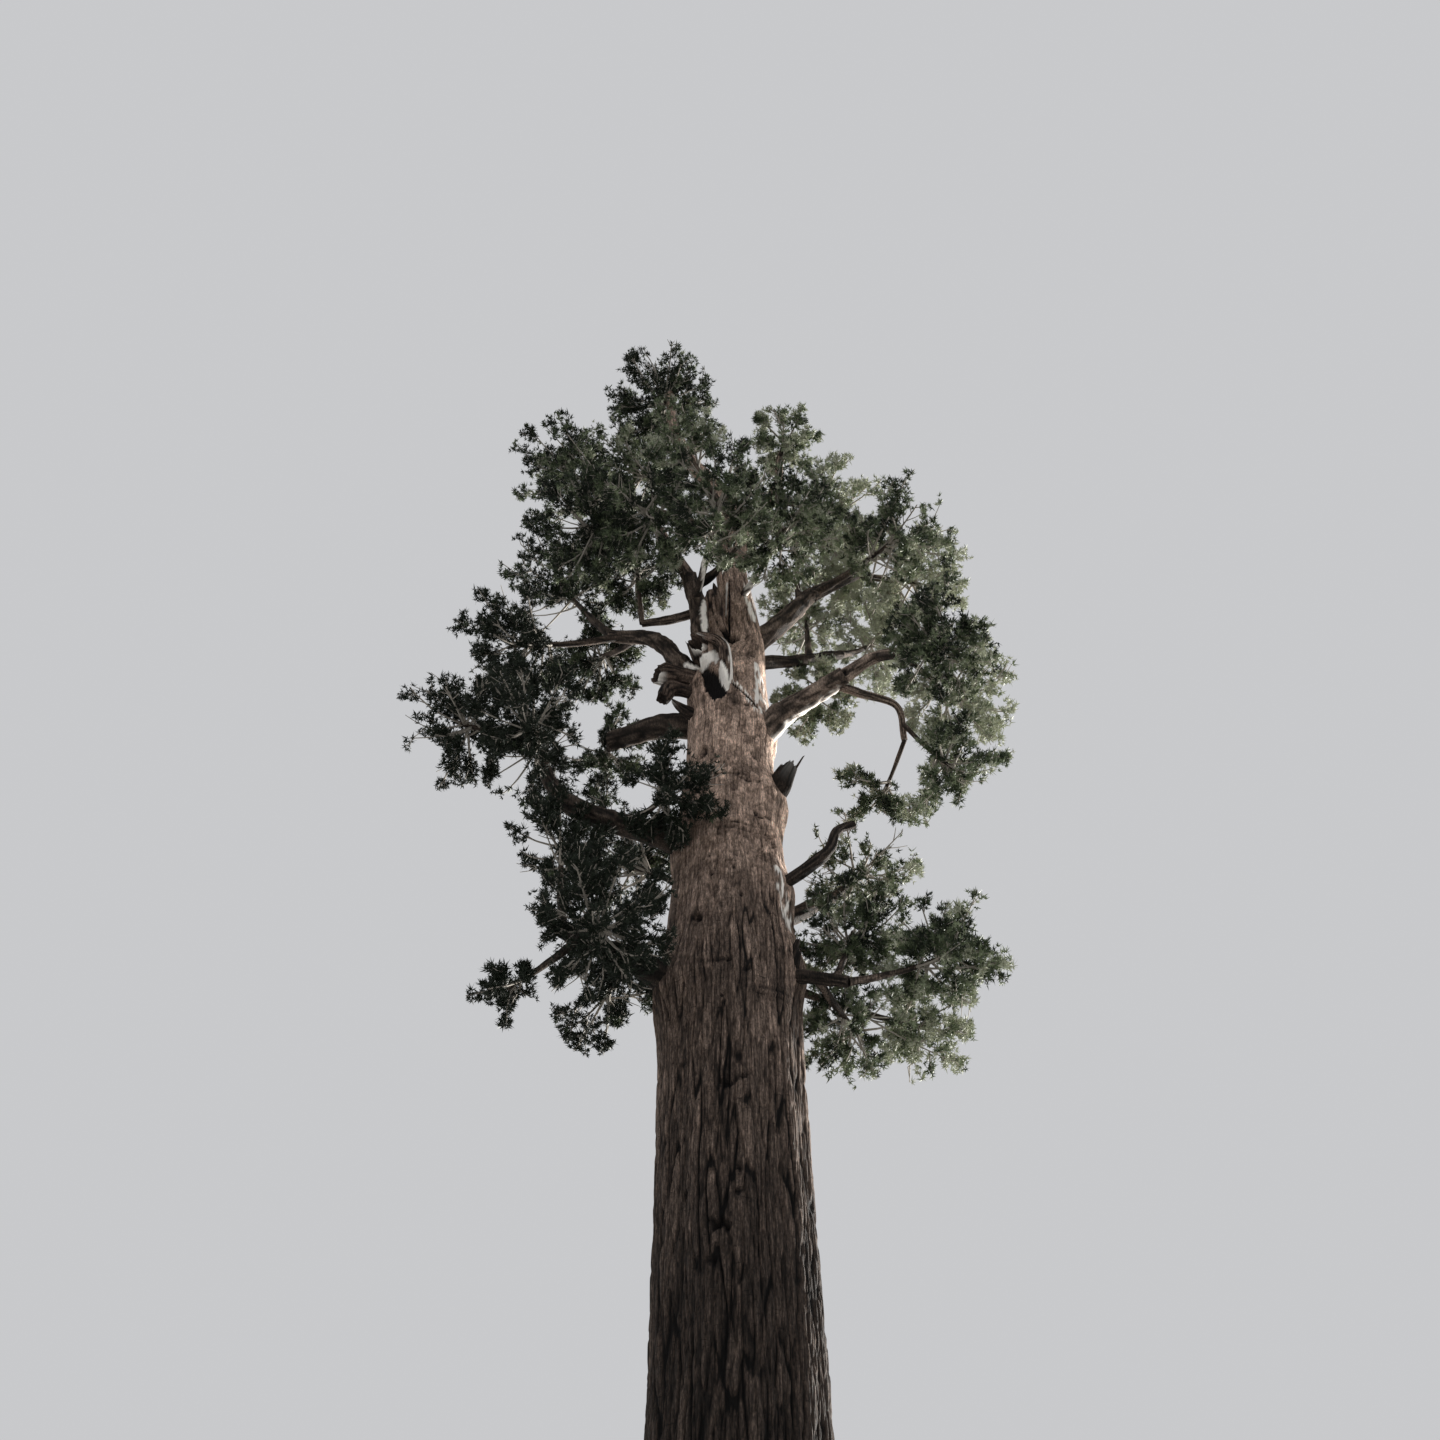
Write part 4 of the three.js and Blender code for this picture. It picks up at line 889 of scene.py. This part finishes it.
def grow_mass(mass, number, twigs, links):
    """Grows one mass: main shoots to the edge of its space, side twigs and sprays."""
    rng = np.random.default_rng(SEED + number)
    middle = mass.middle
    stem, _ = stem_course(mass)
    count = max(round(MAIN_SHOOTS * mass.fullness * (mass.radius / USUAL_RADIUS) ** 1.5), 5)
    aims = spread_directions(count)
    spin = rng.uniform(0, 2 * math.pi)
    sine, cosine = math.sin(spin), math.cos(spin)
    turn = np.array([[cosine, -sine, 0], [sine, cosine, 0], [0, 0, 1]])
    aims = unit(aims @ turn.T + rng.normal(0, 0.12, aims.shape))
    reach = reach_in_space(mass, aims)
    ends = middle + aims * SPACE_SHAPE * (reach * rng.uniform(0.74, 0.95, count))[:, None]
    for _ in range(4):
        kept = clear_of_openings(ends) & in_space(mass, ends)
        ends = np.where(kept[:, None], ends, middle + 0.8 * (ends - middle))
    at = rng.uniform(0.62, 1.0, count) * (len(stem) - 1)
    low = np.minimum(at.astype(int), len(stem) - 2)
    starts = stem[low] + (stem[low + 1] - stem[low]) * (at - low)[:, None]
    bends = (starts + ends) / 2 - [0, 0, SHOOT_SAG] * reach[:, None] + rng.normal(0, 0.12, starts.shape)
    add_twigs(twigs, starts, bends, ends, *SHOOT_RADII, sides=4, steps=5)

    shares = rng.uniform(0.3, 1.0, (count, SIDE_TWIGS))
    shares[:, 0] = 1.0
    roots = bow(starts[:, None], bends[:, None], ends[:, None], shares[..., None])
    heading = unit(ends - starts)[:, None] * np.ones((1, SIDE_TWIGS, 1))
    outward = unit(roots - middle)
    sideways = random_across(heading, rng)
    twig_heading = unit(0.5 * heading + 0.75 * sideways + 0.45 * outward + [0, 0, 0.12])
    length = TWIG_LENGTH * mass.radius * rng.uniform(0.5, 1.15, shares.shape)[..., None]
    tips = roots + twig_heading * length
    roots, tips, twig_heading = (part.reshape(-1, 3) for part in (roots, tips, twig_heading))
    kept = in_space(mass, roots) & clear_of_openings(tips) & clear_of_openings(roots)
    roots, tips, twig_heading = roots[kept], tips[kept], twig_heading[kept]
    for _ in range(6):
        outside = ~in_space(mass, tips)
        tips[outside] = roots[outside] + 0.72 * (tips[outside] - roots[outside])
    elbows = (roots + tips) / 2 - [0, 0, TWIG_SAG]
    add_twigs(twigs, roots, elbows, tips, *TWIG_RADII, sides=3, steps=2)

    shares = np.linspace(0.25, 1.0, TUFTS_ON_TWIG)[None] + rng.normal(0, 0.05, (len(roots), TUFTS_ON_TWIG))
    places = bow(roots[:, None], elbows[:, None], tips[:, None], shares[..., None])
    places = places + rng.normal(0, TUFT_SCATTER, places.shape)
    headings = unit(0.6 * twig_heading[:, None] + rng.normal(0, 0.45, places.shape) + [0, 0, 0.15])
    places, headings = places.reshape(-1, 3), headings.reshape(-1, 3)
    sizes = rng.uniform(*PRONG_LENGTH, len(places))
    outer = np.linalg.norm((places - middle) / SPACE_SHAPE, axis=1) / mass.radius
    kept = in_space(mass, places + headings * sizes[:, None]) & in_space(mass, places)
    kept &= clear_of_limbs(places, links) & clear_of_openings(places)
    wide, narrow = CLUMP_SIZES
    clumps = noise(places / wide, 301) + 0.3 * noise(places / narrow, 303)
    wide, narrow = GAP_SIZES
    gaps = noise(places / wide, 300) + 0.4 * noise(places / narrow, 302)
    gaps -= GAP_IN_CLUMPS * np.maximum(clumps, 0)
    kept &= gaps > GAP_LEVEL + GAP_BY_FULLNESS * (1 - mass.fullness)
    places, headings, sizes = places[kept], headings[kept], sizes[kept]
    # Painted light and shade: each spray's green comes from its place towards the sun, the outside of the
    # mass, clumps and the mass's own tone
    tone = OUTER_LIGHT * outer[kept] + rng.normal(0, 0.3, len(places)) + CLUMP_LIGHT * clumps[kept]
    around = np.minimum(places - PAINTED_LIGHT_MIDDLE, PAINTED_LIGHT_LIMITS)
    tone += around @ np.array(PAINTED_LIGHT_BY_PLACE) + mass.tone
    shape = Shape()
    add_tufts(shape, places, headings, sizes, np.digitize(tone, GREEN_STEPS), rng)
    return shape


# Materials
class Paint:
    """A material whose nodes are added and joined in short calls."""

    def __init__(self, name, roughness):
        self.material = bpy.data.materials.new(name)
        self.material.use_nodes = True
        self.nodes = self.material.node_tree.nodes
        self.shader = self.nodes["Principled BSDF"]
        self.set(self.shader, {"Roughness": roughness, "Specular IOR Level": 0.25})

    def set(self, node, inputs):
        """Gives a node's inputs their values, or joins them to other nodes' outputs."""
        for key, value in inputs.items():
            if isinstance(value, bpy.types.NodeSocket):
                self.material.node_tree.links.new(value, node.inputs[key])
            else:
                node.inputs[key].default_value = value

    def add(self, kind, inputs):
        """A new node."""
        node = self.nodes.new("ShaderNode" + kind)
        self.set(node, inputs)
        return node

    def ramp(self, value, stops):
        """A value turned into a colour by stops of place and colour."""
        node = self.add("ValToRGB", {"Fac": value})
        elements = node.color_ramp.elements
        while len(elements) < len(stops):
            elements.new(0.5)
        for element, (place, colour) in zip(elements, stops):
            element.position = place
            element.color = (*colour, 1)
        return node.outputs["Color"]

    def greys(self, value, stops):
        """A value turned into a grey by stops of place and lightness."""
        return self.ramp(value, [(place, grey(lightness)) for place, lightness in stops])

    def noise(self, coordinates, stretch, scale, detail, roughness):
        """Noise in object space, stretched along the trunk."""
        mapping = self.add("Mapping", {"Vector": coordinates, "Scale": (1, 1, stretch)})
        inputs = {"Scale": scale, "Detail": detail, "Roughness": roughness}
        return self.add("TexNoise", {**inputs, "Vector": mapping.outputs["Vector"]}).outputs["Fac"]

    def mix(self, kind, factor, first, second):
        """Two colours mixed."""
        node = self.nodes.new("ShaderNodeMix")
        node.data_type = "RGBA"
        node.blend_type = kind
        self.set(node, {0: factor, 6: first, 7: second})
        return node.outputs[2]


def grey(lightness):
    """A neutral colour."""
    return (lightness, lightness * 0.985, lightness * 0.97)


# Heights of the model between which the bark's long streaks fade, and how far
STREAKS_FADE = [21.5, 25]
STREAKS_FADED = 0.6

# Noise of the bark: stretch, scale, detail, roughness. Greys: places in the noise, lightness
STREAKS = [0.07, 30, 9, 0.74]
STREAK_GREYS = [(0.38, 0.3), (0.5, 0.95), (0.62, 2)]
FLECKS = [0.35, 34, 6, 0.72]
FLECK_GREYS = [(0.39, 0.55), (0.5, 0.97), (0.61, 1.6)]
CRACKS = [5, 5, 4, 0.6]
CRACK_GREYS = [(0.33, 0.3), (0.38, 1)]
GRAIN_GREYS = [(0.36, 0.7), (0.45, 0.97), (0.6, 1)]
BRIGHTEST_BARK = 4
WOOD_BUMP = 0.15
PALE_WOOD_AND_LIGHT = (1.0, 0.97, 0.92)
HOLLOW_PAINTED_SHADE = (0.004, 0.003, 0.003)


def bark_material(name, furrow_with_shade, middle, rib):
    """Fibrous bark: dark furrows, partly painted shade, lighter plates, streaks, cracks, pale broken wood
    partly as painted sunlight, and knots and hollows painted dark as shade.
    """
    paint = Paint(name, 0.9)
    coordinates = paint.add("TexCoord", {}).outputs["Object"]
    relief = paint.add("VertexColor", {})
    relief.layer_name = "relief"
    pale_lit_wood = relief.outputs["Alpha"]
    parts = paint.add("SeparateColor", {"Color": relief.outputs["Color"]}).outputs
    height = paint.add("SeparateXYZ", {"Vector": coordinates}).outputs["Z"]
    limits = dict(zip(("From Min", "From Max"), STREAKS_FADE))
    fade = paint.add("MapRange", {"Value": height, **limits, "To Max": STREAKS_FADED})
    streaks, flecks, cracks = (paint.noise(coordinates, *kind) for kind in (STREAKS, FLECKS, CRACKS))
    streak_tone = paint.greys(streaks, STREAK_GREYS)
    # Dark furrows, partly the bark's own colour and partly painted shade
    colour = paint.ramp(parts["Red"], [(0, furrow_with_shade), (0.25, furrow_with_shade), (0.62, middle), (1, rib)])
    for tone, share in (
        (paint.greys(parts["Green"], [(0, 0), (1, BRIGHTEST_BARK)]), 1),
        (paint.mix("MIX", fade.outputs["Result"], streak_tone, (*grey(1), 1)), 1),
        (paint.greys(flecks, FLECK_GREYS), 1),
        (paint.greys(cracks, CRACK_GREYS), 0.8),
    ):
        colour = paint.mix("MULTIPLY", share, colour, tone)
    # Near-white pale wood, partly painted sunlight
    wood = paint.mix("MULTIPLY", 1, paint.greys(streaks, GRAIN_GREYS), (*PALE_WOOD_AND_LIGHT, 1))
    colour = paint.mix("MIX", pale_lit_wood, colour, wood)
    # Painted shade in hollows, knot pits, seams and broken hearts
    colour = paint.mix("MIX", parts["Blue"], colour, (*HOLLOW_PAINTED_SHADE, 1))
    roughness = paint.greys(flecks, [(0.3, 0.8), (0.7, 1)])
    normal = {}
    for height, strength, distance in ((flecks, 0.7, 0.02), (streaks, 0.9, 0.045), (cracks, 0.3, 0.02)):
        softer = paint.greys(pale_lit_wood, [(0, strength), (1, WOOD_BUMP)])
        bump = paint.add("Bump", {"Strength": softer, "Distance": distance, "Height": height, **normal})
        normal = {"Normal": bump.outputs["Normal"]}
    paint.set(paint.shader, {"Base Color": colour, "Roughness": roughness, **normal})
    return paint.material


def plain_material(name, colour, roughness=0.8):
    """A plain colour."""
    paint = Paint(name, roughness)
    paint.set(paint.shader, {"Base Color": (*colour, 1)})
    return paint.material


trunk_bark = bark_material("trunk_bark", (0.012, 0.009, 0.008), (0.15, 0.112, 0.092), (0.27, 0.21, 0.178))
limb_bark = bark_material("limb_bark", (0.016, 0.013, 0.011), (0.08, 0.063, 0.053), (0.16, 0.13, 0.11))
twig_bark = plain_material("twig_bark", (0.34, 0.31, 0.27))
leaf_materials = [plain_material(name, colour, 0.6) for name, colour in GREENS]

# Trunk pieces
trunk = {name: Shape() for name in TRUNK_PIECES}
add_foot(trunk["bark_lower_trunk"])
for name, stretches in TRUNK_PIECES.items():
    for stretch in stretches:
        add_trunk(trunk[name], *stretch)
for k, (tone, broken, radii, course, *pale) in enumerate(TRUNK_STUBS):
    seed = FIRST_STUB + k
    add_limb(trunk["bark_top_trunk"], course, radii, seed, STUB_SIDES, STUB_GAP, broken, tone, pale)
for name, shape in trunk.items():
    cut_scars(shape)
    piece = shape.make(name, [trunk_bark])
    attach(piece, "root")
    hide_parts("trunk")

# Boughs, bare shoots and the masses' stems
boughs, twigs = Shape(), Shape()
for k, (tone, radii, course, *pale) in enumerate(BOUGHS.values()):
    add_limb(boughs, course, radii, FIRST_BOUGH + k, BOUGH_SIDES, tone=tone, pale_lit_side=pale)
for k, (radii, course) in enumerate(SHOOTS):
    add_limb(boughs, course, radii, FIRST_SHOOT + k, SHOOT_SIDES)
masses = [SimpleNamespace(**dict(zip(MASS_FIELDS, row))) for row in MASSES]
for mass in masses:
    mass.middle = np.array(mass.middle, float)
for k, mass in enumerate(masses):
    mass.walls = space_walls(mass, masses)
    stem, thick = stem_course(mass)
    add_limb(boughs, stem[::2], [thick, STEM_TIP_RADIUS], FIRST_STEM + k, STEM_SIDES, STEM_GAP)
cut_scars(boughs)
piece = boughs.make("bark_boughs", [limb_bark])
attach(piece, "root")
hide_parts(*BOUGHS)

# Links are short straight lengths with a radius, which foliage keeps away from
links = []
for _, radii, course, *_ in BOUGHS.values():
    points, radii = limb_rings(course, radii, LINK_LENGTH)
    links += zip(points, points[1:], radii)
points, radii = trunk_at(np.arange(*LINKED_HEIGHTS))
links += zip(points, points[1:], radii)

# Foliage, in pieces that stand for neighbouring masses
pieces = []
for k, mass in enumerate(masses):
    grown = grow_mass(mass, k, twigs, links)
    if not pieces or pieces[-1][0].triangles() + grown.triangles() > PIECE_TRIANGLES:
        pieces.append([Shape()])
    for part in zip(grown.corners, grown.faces, grown.shades, grown.slots):
        pieces[-1][0].add(*part)
    pieces[-1].append("foliage_" + mass.name)
for k, (shape, *names) in enumerate(pieces):
    piece = shape.make(f"leaves_{k + 1}", leaf_materials, smooth=False)
    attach(piece, "root")
    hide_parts(*names)
piece = twigs.make("twigs", [twig_bark])
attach(piece, "root")

# Pale floor, soft light and the photograph's camera
FLOOR_HALF = 150
floor_mesh = bpy.data.meshes.new("floor")
square = [(FLOOR_HALF * x, FLOOR_HALF * y, 0) for x, y in ((-1, -1), (1, -1), (1, 1), (-1, 1))]
floor_mesh.from_pydata(square, [], [(0, 1, 2, 3)])
floor_mesh.materials.append(plain_material("floor_paint", (0.6, 0.6, 0.59), 0.9))
floor = add_object("floor", floor_mesh)

world = bpy.data.worlds.new("sky")
world.use_nodes = True
sky = world.node_tree.nodes["Background"].inputs
sky["Color"].default_value = (0.58, 0.585, 0.6, 1)
sky["Strength"].default_value = 1
bpy.context.scene.world = world

# The sun stands behind the tree at the right, low over the ground
SUN_FROM = [0.66, 0.74, 0.12]
sun_data = bpy.data.lights.new("sun", "SUN")
sun_data.energy = 12
sun_data.angle = math.radians(8)
sun_data.color = (1.0, 0.97, 0.92)
right, behind, up = SUN_FROM
sun = add_object("sun", sun_data)
sun.rotation_euler = (math.atan2(math.hypot(right, behind), up), 0, math.atan2(behind, right) + math.pi / 2)

# The camera looks up from eye height, and its lens is known in pixels of the photograph
PHOTO_WIDTH = 1440
LENS_PIXELS = 1933
SENSOR_WIDTH = 36
PITCH = 45
camera_data = bpy.data.cameras.new("camera")
camera_data.sensor_width = SENSOR_WIDTH
camera_data.lens = SENSOR_WIDTH * LENS_PIXELS / PHOTO_WIDTH
camera_data.clip_end = 500
camera = add_object("camera", camera_data)
camera.location = [SCALE * part for part in EYE]
camera.rotation_euler = (math.radians(90 + PITCH), 0, 0)
bpy.context.scene.camera = camera
bpy.context.scene.view_settings.view_transform = "Standard"
